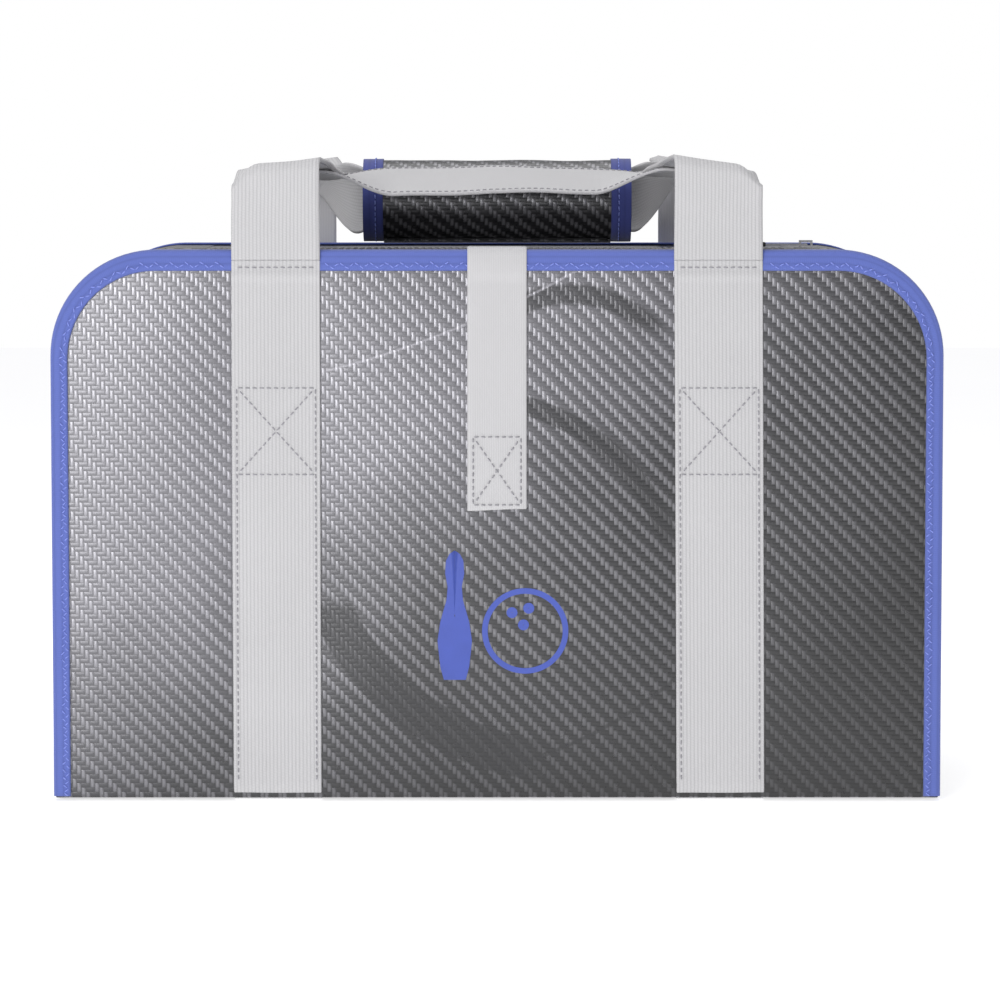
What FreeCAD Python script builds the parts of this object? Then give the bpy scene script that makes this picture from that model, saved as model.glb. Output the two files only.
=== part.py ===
"""Two-ball bowling bag: a soft tote with bound front and rear panels, a zipped top, two webbing
handles that lie over the top, a padded grip wrap and fitted foam seats for the balls.

Units are millimetres. X runs along the width, Y from front (-) to rear (+), Z up. The origin is on
the floor under the middle of the bag. Each named sub-part is written to parts/NAME.step.
"""

import FreeCAD
import Part

import math
import os

V = FreeCAD.Vector

# ---------------------------------------------------------------- driving dimensions
HALF_WIDTH = 253.0        # half of the bound panel's width
HEIGHT = 314.0            # top of the bound panel above the floor
HALF_DEPTH = 120.0        # half of the distance between the two outer panel faces
CORNER_RADIUS = 60.0      # bound panel's top corners
FOOT_RADIUS = 5.0         # bound panel's bottom corners

WEB_WIDTH = 50.0          # strap and handle webbing
WEB_THICK = 1.6
STRAP_X = 125.0           # middle of each strap, left and right

VINYL = 1.0               # layers of the front and rear walls, from the outside in
FOAM = 5.0
LINING = 0.8

BINDING = 1.2             # thickness of the edge tape
BINDING_FACE = 12.0       # how far the tape reaches over the panel face
BINDING_EDGE = 12.0       # how far the tape reaches over the edge, towards the zip

GUSSET = 3.0              # side and top wall
BASE_VINYL = 1.5
BASE_BOARD = 3.0
BASE_PAD = 4.0

MOUTH_HALF = 174.5        # half length of the two top flaps
FLAP_EDGE = 9.0           # flap's zip edge, from the middle line
HINGE_GAP = 0.2           # flap's hinge line to its own edge

TAB_WIDTH = 33.5          # centre strap on the front
TAB_THICK = 1.4
TAB_DROP = 147.0          # how far it hangs down the front face

BALL_RADIUS = 108.0
BALL_CLEARANCE = 0.5
BALL_X = 114.0
CUP_RADIUS = 75.0
CUP_HOLE = 35.0
CUP_HEIGHT = 26.0
BALL_OVER_PAD = 4.0

DIVIDER_THICK = 8.0
DIVIDER_TOP = 210.0
FLANGE_WIDTH = 30.0
FLANGE_THICK = 2.0
TOUCH_TAPE = 1.0          # hook tape and loop tape, each
LIFT_GAP = 0.3            # between the divider and what it slides on

GRIP_Y = 33.0             # grip tube's centre line
GRIP_Z = 341.0
GRIP_RADIUS = 24.0
GRIP_HALF = 80.0          # half of the tube's length
GRIP_BINDING = 12.0       # width of the edge tape at each end of the tube
WRAP_VINYL = 1.0
WRAP_FOAM = 2.0
WRAP_OVERLAP = 20.0       # degrees by which the flap laps under the fixed half

FOLD_GAP = 0.3            # handle's lower edge above its fold line
FOLD_Z = 308.0            # stitched line where the handle leaves the panel
HANDLE_TOP = 361.0
HANDLE_BACK = 12.0        # front handle's far edge, from the middle line
HANDLE_LOW = 345.0        # front handle strip's near edge, top side
HANDLE_HIGH = 360.0       # and its far edge
HANDLE_LINING = 0.8

ZIP_COIL = 3.0            # width of one coil row
ZIP_CHANNEL = 0.8         # coil row to the middle line
ZIP_TAPE = 0.6
SLIDER_HALF = 6.5
SLIDER_REST = 183.0
PULL_LENGTH = 30.0
PULL_GRIP = 14.0

# ---------------------------------------------------------------- levels and offsets that follow
WALL = VINYL + FOAM + LINING
INNER_Y = HALF_DEPTH - WALL                 # lining's inner face
FLOOR_Z = WEB_THICK                         # bag's underside, on top of the straps
SHELL_INSET = BINDING                       # panels lie inside the tape
GUSSET_TOP = HEIGHT - BINDING
LINING_START = HEIGHT + 1.5                 # handle lining's lower edge, above the edge tape
GUSSET_UNDER = GUSSET_TOP - GUSSET
BOARD_Z = FLOOR_Z + BASE_VINYL
PAD_Z = BOARD_Z + BASE_BOARD
CUP_Z = PAD_Z + BASE_PAD
BALL_Z = CUP_Z + BALL_OVER_PAD + BALL_RADIUS
STRAP_CLEAR = 0.1                           # strap to edge tape where it crosses it
STRAP_TOP_Y = HALF_DEPTH + BINDING + STRAP_CLEAR
FOLD_Y = STRAP_TOP_Y + WEB_THICK + 0.1      # handle fold line, just outside the webbing
FLAP_START = HALF_DEPTH - BINDING_EDGE - 1.6
CAP_END = HALF_DEPTH - BINDING_EDGE + 1.5   # rear edge of the centre strap's turned-over end
FLAP_HINGE_Y = FLAP_START + HINGE_GAP
FLAP_HINGE_Z = GUSSET_TOP + 0.6
INNER_X = HALF_WIDTH - SHELL_INSET - GUSSET


# ---------------------------------------------------------------- helpers
def block(x0, x1, y0, y1, z0, z1):
    """A box from its low and high limits."""
    return Part.makeBox(x1 - x0, y1 - y0, z1 - z0, V(x0, y0, z0))


def mirrored(shape, x=False, y=False):
    """The shape's mirror image in X = 0 or in Y = 0."""
    if x:
        shape = shape.mirror(V(0, 0, 0), V(1, 0, 0))
    if y:
        shape = shape.mirror(V(0, 0, 0), V(0, 1, 0))
    return shape


def panel_outline(inset):
    """The bound panel's outline in the plane Y = 0, drawn in by inset at the sides and the top."""
    half, top = HALF_WIDTH - inset, HEIGHT - inset
    big, small = CORNER_RADIUS - inset, max(FOOT_RADIUS - inset, 0.6)
    bottom, s = FLOOR_Z, math.sqrt(0.5)

    def corner(cx, cz, radius, a, b):
        """An arc of the given radius about (cx, cz), between two directions in degrees."""
        ends = [math.radians(a), math.radians((a + b) / 2), math.radians(b)]
        pts = [V(cx + radius * math.cos(t), 0, cz + radius * math.sin(t)) for t in ends]
        return Part.Arc(*pts).toShape(), pts[0], pts[-1]

    arcs = [
        corner(half - small, bottom + small, small, -90, 0),
        corner(half - big, top - big, big, 0, 90),
        corner(-half + big, top - big, big, 90, 180),
        corner(-half + small, bottom + small, small, 180, 270),
    ]
    edges = []
    for i, (arc, _start, end) in enumerate(arcs):
        edges += [arc, Part.makeLine(end, arcs[(i + 1) % 4][1])]
    return Part.Face(Part.Wire(edges))


def panel_plate(inset, y0, y1):
    """A flat plate of the panel's outline, from y0 to y1."""
    face = panel_outline(inset)
    face.translate(V(0, y0, 0))
    return face.extrude(V(0, y1 - y0, 0))


def ribbon(points, thick, x0, x1):
    """A band that follows points (y, z), with its thickness to the left of the way it runs."""
    def shifted(distance):
        out = []
        for i, (y, z) in enumerate(points):
            before = points[max(i - 1, 0)]
            after = points[min(i + 1, len(points) - 1)]
            here = (y, z)
            turns = []
            for a, b in ((before, here), (here, after)):
                length = math.hypot(b[0] - a[0], b[1] - a[1])
                if length > 1e-9:
                    turns.append((-(b[1] - a[1]) / length, (b[0] - a[0]) / length))
            ny = sum(t[0] for t in turns) / len(turns)
            nz = sum(t[1] for t in turns) / len(turns)
            size = ny * ny + nz * nz
            out.append((y + ny / size * distance, z + nz / size * distance))
        return out

    loop = points + shifted(thick)[::-1]
    wire = Part.makePolygon([V(x0, y, z) for y, z in loop + loop[:1]])
    return Part.Face(wire).extrude(V(x1 - x0, 0, 0))


def both_sides(shape):
    """The shape and its mirror image in X = 0, as two solids in one node."""
    return Part.makeCompound([shape, mirrored(shape, x=True)])


def tube_sector(radius_out, radius_in, x0, x1, a, b):
    """Part of a tube about the grip's centre line, between two angles in degrees from +Y to +Z."""
    def at(radius, angle):
        t = math.radians(angle)
        return V(x0, GRIP_Y + radius * math.cos(t), GRIP_Z + radius * math.sin(t))

    mid = (a + b) / 2
    wire = Part.Wire([
        Part.Arc(at(radius_out, a), at(radius_out, mid), at(radius_out, b)).toShape(),
        Part.makeLine(at(radius_out, b), at(radius_in, b)),
        Part.Arc(at(radius_in, b), at(radius_in, mid), at(radius_in, a)).toShape(),
        Part.makeLine(at(radius_in, a), at(radius_out, a)),
    ])
    return Part.Face(wire).extrude(V(x1 - x0, 0, 0))


# ---------------------------------------------------------------- walls of the bag
def wall_layers():
    """Front wall: vinyl face, foam board and lining, as three plates that lie on each other."""
    face = -HALF_DEPTH
    return {
        "face_vinyl": panel_plate(SHELL_INSET, face, face + VINYL),
        "foam_board": panel_plate(SHELL_INSET, face + VINYL, face + VINYL + FOAM),
        "wall_lining": panel_plate(SHELL_INSET, face + VINYL + FOAM, face + WALL),
    }


def edge_binding():
    """Tape round the front panel's edge: a leg on the face and a leg over the edge, open below."""
    face = panel_plate(0, -HALF_DEPTH - BINDING, -HALF_DEPTH)
    face = face.cut(panel_plate(BINDING_FACE, -HALF_DEPTH - 9, 0))
    inner = HALF_WIDTH - BINDING_FACE
    face = face.cut(block(-inner, inner, -HALF_DEPTH - 9, 0, 0, HEIGHT / 2))
    edge = panel_plate(0, -HALF_DEPTH, -HALF_DEPTH + BINDING_EDGE)
    edge = edge.cut(panel_plate(SHELL_INSET, -HALF_DEPTH - 9, 0))
    side = HALF_WIDTH - SHELL_INSET
    edge = edge.cut(block(-side, side, -HALF_DEPTH - 9, 0, 0, HEIGHT / 2))
    return face.fuse(edge).removeSplitter()


def side_gusset():
    """Left side wall: from the base, up and round the corner to the end of the mouth."""
    ring = panel_plate(SHELL_INSET, -INNER_Y, INNER_Y)
    ring = ring.cut(panel_plate(SHELL_INSET + GUSSET, -INNER_Y - 1, INNER_Y + 1))
    left = block(-HALF_WIDTH, -MOUTH_HALF - 0.5, -INNER_Y, INNER_Y, BOARD_Z, HEIGHT)
    wall = ring.common(left)
    slot_end = -HALF_WIDTH + CORNER_RADIUS - 4
    slot = block(slot_end, 0, -FLAP_EDGE, FLAP_EDGE, GUSSET_UNDER - 1, HEIGHT)
    return wall.cut(slot)


def base_parts():
    """Base: outer vinyl, stiff board and padded lining, stacked."""
    side = HALF_WIDTH - SHELL_INSET
    inside_x, inside_y = INNER_X - 0.5, INNER_Y - 0.4
    return {
        "base_vinyl": block(-side, side, -INNER_Y, INNER_Y, FLOOR_Z, BOARD_Z),
        "base_board": block(-inside_x, inside_x, -inside_y, inside_y, BOARD_Z, PAD_Z),
        "base_pad": block(-inside_x, inside_x, -inside_y, inside_y, PAD_Z, CUP_Z),
    }


# ---------------------------------------------------------------- straps and handles
def body_strap():
    """Left strap: down the front, under the base and up the rear, stepping over the edge tape."""
    step_low = HEIGHT - BINDING_FACE - 8
    step_high = HEIGHT - BINDING_FACE - 1.5
    half = [
        (-STRAP_TOP_Y, FOLD_Z - 0.4),
        (-STRAP_TOP_Y, step_high),
        (-HALF_DEPTH, step_low),
        (-HALF_DEPTH, FLOOR_Z),
    ]
    path = half + [(-y, z) for y, z in reversed(half)]
    x0 = -STRAP_X - WEB_WIDTH / 2
    return ribbon(path, -WEB_THICK, x0, x0 + WEB_WIDTH)


def front_handle():
    """Front handle: two legs that bend back over the top, and a flat strip that joins them."""
    start = FOLD_Z + FOLD_GAP
    leg_path = [
        (-STRAP_TOP_Y - WEB_THICK, start),
        (-STRAP_TOP_Y - WEB_THICK, HANDLE_TOP - 6),
        (-STRAP_TOP_Y + 4, HANDLE_TOP + WEB_THICK),
        (-HANDLE_BACK - WEB_WIDTH, HANDLE_LOW),
        (-HANDLE_BACK, HANDLE_HIGH),
    ]
    x0 = -STRAP_X - WEB_WIDTH / 2
    leg = ribbon(leg_path, -WEB_THICK, x0, x0 + WEB_WIDTH)
    strip_path = [
        (-HANDLE_BACK - WEB_WIDTH, HANDLE_LOW - WEB_THICK),
        (-HANDLE_BACK, HANDLE_HIGH - WEB_THICK),
    ]
    strip = ribbon(strip_path, -WEB_THICK, x0, -x0)
    webbing = strip.fuse([leg, mirrored(leg, x=True)]).removeSplitter()
    inner = STRAP_X - WEB_WIDTH / 2 - 1
    lining_top = ribbon(strip_path, HANDLE_LINING, -inner, inner)
    lining_leg = block(
        x0, x0 + WEB_WIDTH, -STRAP_TOP_Y, -STRAP_TOP_Y + HANDLE_LINING, LINING_START, HANDLE_TOP - 8
    )
    lining = Part.makeCompound([lining_top, lining_leg, mirrored(lining_leg, x=True)])
    return webbing, lining


def rear_handle():
    """Rear handle: legs that bend forward, and a strip that runs through the grip tube."""
    start = FOLD_Z + FOLD_GAP
    leg_path = [
        (STRAP_TOP_Y + WEB_THICK, start),
        (STRAP_TOP_Y + WEB_THICK, HANDLE_TOP - 6),
        (STRAP_TOP_Y - 4, HANDLE_TOP + WEB_THICK),
        (GRIP_Y + WEB_WIDTH / 2, HANDLE_TOP - 6),
        (GRIP_Y - WEB_WIDTH / 2 + 3, GRIP_Z + 2),
    ]
    x0 = -STRAP_X - WEB_WIDTH / 2
    leg = ribbon(leg_path, WEB_THICK, x0, x0 + WEB_WIDTH)
    neck = GRIP_RADIUS - WRAP_VINYL - WRAP_FOAM - 2
    strip = block(
        -STRAP_X - 10, STRAP_X + 10, GRIP_Y - neck, GRIP_Y + neck, GRIP_Z, GRIP_Z + WEB_THICK
    )
    riser = block(
        x0, x0 + WEB_WIDTH, GRIP_Y - neck, GRIP_Y - neck + 4, GRIP_Z, GRIP_Z + WEB_THICK + 4
    )
    webbing = strip.fuse([leg, mirrored(leg, x=True), riser, mirrored(riser, x=True)])
    lining_leg = block(
        x0, x0 + WEB_WIDTH, STRAP_TOP_Y - HANDLE_LINING, STRAP_TOP_Y, LINING_START, HANDLE_TOP - 8
    )
    clear = GRIP_HALF + 2
    lining_strip = block(
        -clear, clear, GRIP_Y - neck, GRIP_Y + neck, GRIP_Z - HANDLE_LINING, GRIP_Z
    )
    lining = Part.makeCompound([lining_strip, lining_leg, mirrored(lining_leg, x=True)])
    return webbing.removeSplitter(), lining


def grip_wrap():
    """Grip tube in two halves: the front half is sewn to the handle, the rear half opens."""
    r1 = GRIP_RADIUS
    r2 = r1 - WRAP_VINYL
    r3 = r2 - WRAP_FOAM
    gap = 0.6                                   # degrees left open at the top fold
    span = GRIP_HALF - 0.5
    tape = [(-GRIP_HALF, -GRIP_HALF + GRIP_BINDING), (GRIP_HALF - GRIP_BINDING, GRIP_HALF)]
    lap = 270 - WRAP_OVERLAP
    inner = span - GRIP_BINDING + 0.5
    fixed = {
        "grip_fixed_vinyl": tube_sector(r1, r2, -inner, inner, 90 + gap, 268),
        "grip_fixed_foam": tube_sector(r2, r3, -span, span, 90 + gap, 268),
        "grip_fixed_binding": Part.makeCompound(
            [tube_sector(r1, r2, a, b, 90 + gap, 268) for a, b in tape]
        ),
        "grip_loop_tape": tube_sector(r1 + 0.6, r1, -inner + 2, inner - 2, lap, 266),
    }
    lap_out, lap_in = r1 + 1.8, r1 + 0.9        # lap passes outside the loop tape
    shell = tube_sector(r1, r2, -inner, inner, -88, 90 - gap)
    lap_sheet = tube_sector(lap_out, lap_in, -inner, inner, lap - 360, -86)
    rise = tube_sector(lap_out, r2, -inner, inner, -88, -84)
    flap = {
        "grip_flap_vinyl": shell.fuse([rise, lap_sheet]).removeSplitter(),
        "grip_flap_foam": tube_sector(r2, r3, -span, span, -88, 90 - gap),
        "grip_flap_binding": Part.makeCompound(
            [tube_sector(r1, r2, a, b, -88, 90 - gap) for a, b in tape]
        ),
    }
    return fixed, flap


# ---------------------------------------------------------------- top flaps and zip
def coil_row(x0, x1):
    """One row of the zip's coil on the front side of the middle line."""
    y1 = -ZIP_CHANNEL
    z0 = GUSSET_UNDER - ZIP_TAPE - 0.6
    return block(x0, x1, y1 - ZIP_COIL, y1, z0, z0 + 2.8)


def zip_tape(x0, x1):
    """Front half of the zip's tape, sewn under the top wall."""
    y1 = -ZIP_CHANNEL - ZIP_COIL
    return block(x0, x1, -FLAP_EDGE - 9, y1, GUSSET_UNDER - ZIP_TAPE, GUSSET_UNDER)


def front_flap():
    """Front half of the top: the flap itself, its zip tape and its coil."""
    m = MOUTH_HALF
    return {
        "flap_panel": block(-m, m, -FLAP_START, -FLAP_EDGE, GUSSET_UNDER, GUSSET_TOP),
        "zip_tape": zip_tape(-m, m),
        "zip_coil": coil_row(-m, m),
    }


def zip_end():
    """Left end of the zip, sewn to the gusset: two tapes with coils, and a metal stop."""
    x0, x1 = -HALF_WIDTH + CORNER_RADIUS, -MOUTH_HALF - 0.5
    tape, coil = zip_tape(x0, x1), coil_row(x0 + 3, x1)
    row = tape.fuse(coil).removeSplitter()
    rows = Part.makeCompound([row, mirrored(row, y=True)])
    z0 = GUSSET_UNDER - ZIP_TAPE - 1.2
    half = ZIP_CHANNEL + ZIP_COIL
    stop = block(x0 + 0.4, x0 + 2.9, -half, half, z0, z0 + 4)
    return rows, stop


def zip_slider():
    """Slider body: two plates joined by a post between the coil rows, and a bridge for the pull."""
    cx = SLIDER_REST
    under = GUSSET_UNDER - ZIP_TAPE
    half_y = 6.0
    x0, x1 = cx - SLIDER_HALF, cx + SLIDER_HALF
    top_z, low_z = GUSSET_UNDER + 2.2, under - 2.6
    post = block(x0 + 1, x0 + 5, -0.5, 0.5, low_z + 1, top_z + 0.5)
    body = [
        block(x0, x1, -half_y, half_y, low_z, low_z + 1.4),
        block(x0, x1, -half_y, -half_y + 1.4, GUSSET_UNDER + 0.4, top_z + 0.2),
        block(x0, x1, half_y - 1.4, half_y, GUSSET_UNDER + 0.4, top_z + 0.2),
        post,
        block(cx - 4, cx - 2.8, -1.5, 1.5, top_z + 1, top_z + 5.4),
        block(cx + 2.8, cx + 4, -1.5, 1.5, top_z + 1, top_z + 5.4),
        block(cx - 4, cx + 4, -1.5, 1.5, top_z + 4.2, top_z + 5.4),
    ]
    plate = block(x0, x1, -half_y, half_y, top_z, top_z + 1.4)
    return plate.fuse(body).removeSplitter(), top_z + 2.8


def zip_pull(axis_z):
    """Pull: a crossbar under the slider's bridge, two arms, a plate and a moulded grip."""
    cx = SLIDER_REST
    bar = Part.makeCylinder(0.8, 7.2, V(cx, -3.6, axis_z), V(0, 1, 0))
    z0, z1 = axis_z - 0.6, axis_z + 0.6
    arms = [block(cx - 9, cx, y, y + 1.4, z0, z1) for y in (-3.6, 2.2)]
    plate = block(cx - PULL_LENGTH, cx - 8, -3.6, 3.6, z0, z1)
    metal = bar.fuse(arms + [plate]).removeSplitter()
    x0 = cx - PULL_LENGTH - PULL_GRIP
    grip = block(x0, cx - PULL_LENGTH + 6, -5, 5, z0 - 0.6, z1 + 0.9)
    grip = grip.makeFillet(0.7, grip.Edges).cut(metal)
    return metal, grip


def centre_strap():
    """Smooth strap: one piece down the front face, one over the top flap as far as the zip."""
    half = TAB_WIDTH / 2
    drop = ribbon(
        [
            (-STRAP_TOP_Y, HEIGHT - 1),
            (-STRAP_TOP_Y, HEIGHT - BINDING_FACE - 1.5),
            (-HALF_DEPTH, HEIGHT - BINDING_FACE - 8),
            (-HALF_DEPTH, HEIGHT - TAB_DROP),
        ],
        -TAB_THICK,
        -half,
        half,
    )
    cap = block(
        -half, half, -STRAP_TOP_Y - TAB_THICK, -CAP_END, HEIGHT, HEIGHT + TAB_THICK
    )
    side = block(
        -half, half, -STRAP_TOP_Y - TAB_THICK, -STRAP_TOP_Y, HEIGHT - 1, HEIGHT + 0.5
    )
    top = block(
        -half, half, -FLAP_START + 0.5, -FLAP_EDGE - 1, GUSSET_TOP, GUSSET_TOP + TAB_THICK
    )
    return drop.fuse([side, cap]).removeSplitter(), top


# ---------------------------------------------------------------- inside the bag
def ball_cup():
    """Foam ring with a spherical seat for the left ball."""
    centre = V(-BALL_X, 0, CUP_Z)
    ring = Part.makeCylinder(CUP_RADIUS, CUP_HEIGHT, centre)
    ring = ring.cut(Part.makeCylinder(CUP_HOLE, CUP_HEIGHT, centre))
    seat = Part.makeSphere(BALL_RADIUS + BALL_CLEARANCE, V(-BALL_X, 0, BALL_Z))
    return ring.cut(seat)


def divider_parts():
    """Padded divider of I section between the balls, and the touch tapes that hold it."""
    reach = INNER_Y - 2 * TOUCH_TAPE - LIFT_GAP
    half, flange = DIVIDER_THICK / 2, FLANGE_WIDTH / 2
    low = CUP_Z + LIFT_GAP
    core = block(-half, half, -reach, reach, low, DIVIDER_TOP)
    ends = [
        block(-flange, flange, -reach, -reach + FLANGE_THICK, low, DIVIDER_TOP),
        block(-flange, flange, reach - FLANGE_THICK, reach, low, DIVIDER_TOP),
    ]
    tape_z = (low + 6, DIVIDER_TOP - 6)
    loop = block(-flange, flange, -INNER_Y, -INNER_Y + TOUCH_TAPE, *tape_z)
    hook = block(-flange, flange, -reach - TOUCH_TAPE, -reach, *tape_z)
    return {
        "ball_divider": core.fuse(ends).removeSplitter(),
        "divider_hook_tapes": Part.makeCompound([hook, mirrored(hook, y=True)]),
        "lining_loop_tapes": Part.makeCompound([loop, mirrored(loop, y=True)]),
    }


# ---------------------------------------------------------------- the whole bag
def all_parts():
    """Every sub-part by name."""
    parts = {}
    for name, shape in wall_layers().items():
        parts["front_" + name] = shape
        parts["rear_" + name] = mirrored(shape, y=True)
    binding = edge_binding()
    parts["front_binding"] = binding
    parts["rear_binding"] = mirrored(binding, y=True)
    gusset = side_gusset()
    parts["left_gusset"] = gusset
    parts["right_gusset"] = mirrored(gusset, x=True)
    parts.update(base_parts())
    strap = body_strap()
    parts["left_body_strap"] = strap
    parts["right_body_strap"] = mirrored(strap, x=True)
    parts["front_handle_webbing"], parts["front_handle_lining"] = front_handle()
    parts["rear_handle_webbing"], parts["rear_handle_lining"] = rear_handle()
    fixed, flap = grip_wrap()
    parts.update(fixed)
    parts.update(flap)
    for name, shape in front_flap().items():
        parts["front_" + name] = shape
        parts["rear_" + name] = mirrored(shape, y=True)
    rows, stop = zip_end()
    parts["left_zip_end"] = rows
    parts["right_zip_end"] = mirrored(rows, x=True)
    parts["zip_stops"] = both_sides(stop)
    parts["zip_slider_body"], axis_z = zip_slider()
    parts["zip_pull_plate"], parts["zip_pull_grip"] = zip_pull(axis_z)
    parts["centre_strap"], parts["centre_strap_top"] = centre_strap()
    cup = ball_cup()
    parts["left_ball_cup"] = cup
    parts["right_ball_cup"] = mirrored(cup, x=True)
    parts.update(divider_parts())
    return parts, axis_z


def main():
    """Writes one STEP file for each sub-part and prints the joint lines."""
    os.makedirs("parts", exist_ok=True)
    parts, pull_axis_z = all_parts()
    for name, shape in parts.items():
        if not shape.isValid() or shape.Volume <= 0:
            raise ValueError(name + " is not a valid solid")
        shape.exportStep("parts/" + name + ".step")
    print(len(parts), "sub-parts")
    print("flap hinge y, z:", FLAP_HINGE_Y, FLAP_HINGE_Z)
    print("handle fold y, z:", FOLD_Y, FOLD_Z)
    print("grip fold y, z:", GRIP_Y, GRIP_Z + GRIP_RADIUS)
    print("pull axis x, z:", SLIDER_REST, pull_axis_z)


main()
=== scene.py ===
"""Two-ball bowling tote: detailed soft pieces over the CAD frame, materials, studio and camera."""

import math
import random

import bpy
import numpy as np
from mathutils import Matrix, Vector, noise


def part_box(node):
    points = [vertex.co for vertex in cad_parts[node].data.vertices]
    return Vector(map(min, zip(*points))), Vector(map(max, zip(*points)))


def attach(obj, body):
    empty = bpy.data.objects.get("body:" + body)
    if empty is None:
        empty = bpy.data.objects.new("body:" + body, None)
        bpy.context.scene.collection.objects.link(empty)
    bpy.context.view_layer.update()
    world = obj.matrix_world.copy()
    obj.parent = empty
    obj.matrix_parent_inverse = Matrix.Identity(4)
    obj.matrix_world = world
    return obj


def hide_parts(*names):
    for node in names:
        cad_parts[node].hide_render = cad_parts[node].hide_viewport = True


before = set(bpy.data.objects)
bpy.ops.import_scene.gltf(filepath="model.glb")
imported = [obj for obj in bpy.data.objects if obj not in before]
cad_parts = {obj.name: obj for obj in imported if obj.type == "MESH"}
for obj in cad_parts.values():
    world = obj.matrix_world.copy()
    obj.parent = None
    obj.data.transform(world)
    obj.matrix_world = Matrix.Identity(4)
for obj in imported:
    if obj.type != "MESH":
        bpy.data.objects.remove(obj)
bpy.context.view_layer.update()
rng = random.Random(7)


# ------------------------------------------------------------------ sizes read from the frame
def limits(node):
    """A CAD node's limits as two lists, in metres."""
    lo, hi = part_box(node)
    return list(lo), list(hi)


PANEL_HI = limits("front_binding")[1]
HALF_W, TOP = PANEL_HI[0], PANEL_HI[2]          # the bound panel's half width and top edge
SKIN_LO = limits("front_face_vinyl")[0]
FACE_Y, FLOOR = -SKIN_LO[1], SKIN_LO[2]         # the vinyl's outer face, front and rear, and its foot
INNER_Y = -limits("front_wall_lining")[1][1]
STRAP_LO, STRAP_HI = limits("left_body_strap")
STRAP_X = -(STRAP_LO[0] + STRAP_HI[0]) / 2
WEB = STRAP_HI[0] - STRAP_LO[0]                 # width of the wide webbing
CENTRE_LO, CENTRE_HI = limits("centre_strap")
FLAP_LO, FLAP_HI = limits("front_flap_panel")
WRAP_LO, WRAP_HI = limits("grip_fixed_vinyl")
WRAP_X0, WRAP_X1 = (box[0] for box in limits("grip_fixed_binding"))
ROOT_Z = limits("front_handle_webbing")[0][2]   # where the handles fold, at their stitched roots
BASE_LO, BASE_HI = limits("base_vinyl")
DIVIDER_LO, DIVIDER_HI = limits("ball_divider")
WEB_T = 0.0016                                  # thickness of the wide webbing
SMOOTH_T = 0.0014                               # thickness of the centre strap
CORNER = 0.060                                  # radius of the panel's top corners
FOOT = 0.006                                    # radius of its lower corners
TAPE_T = 0.0013                                 # edge tape: thickness and width of its face
TAPE_W = 0.0118
ROOT_FLAT = 0.0011                              # how far the webbing's inner face stands off at its root
GRIP_R = (WRAP_HI[2] - WRAP_LO[2]) / 2
GRIP_Y = WRAP_HI[1] + GRIP_R * 0.01
GRIP_Z = (WRAP_HI[2] + WRAP_LO[2]) / 2
SIDES = (("front", False), ("rear", True))      # each side's name, and whether it is mirrored in Y


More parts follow.
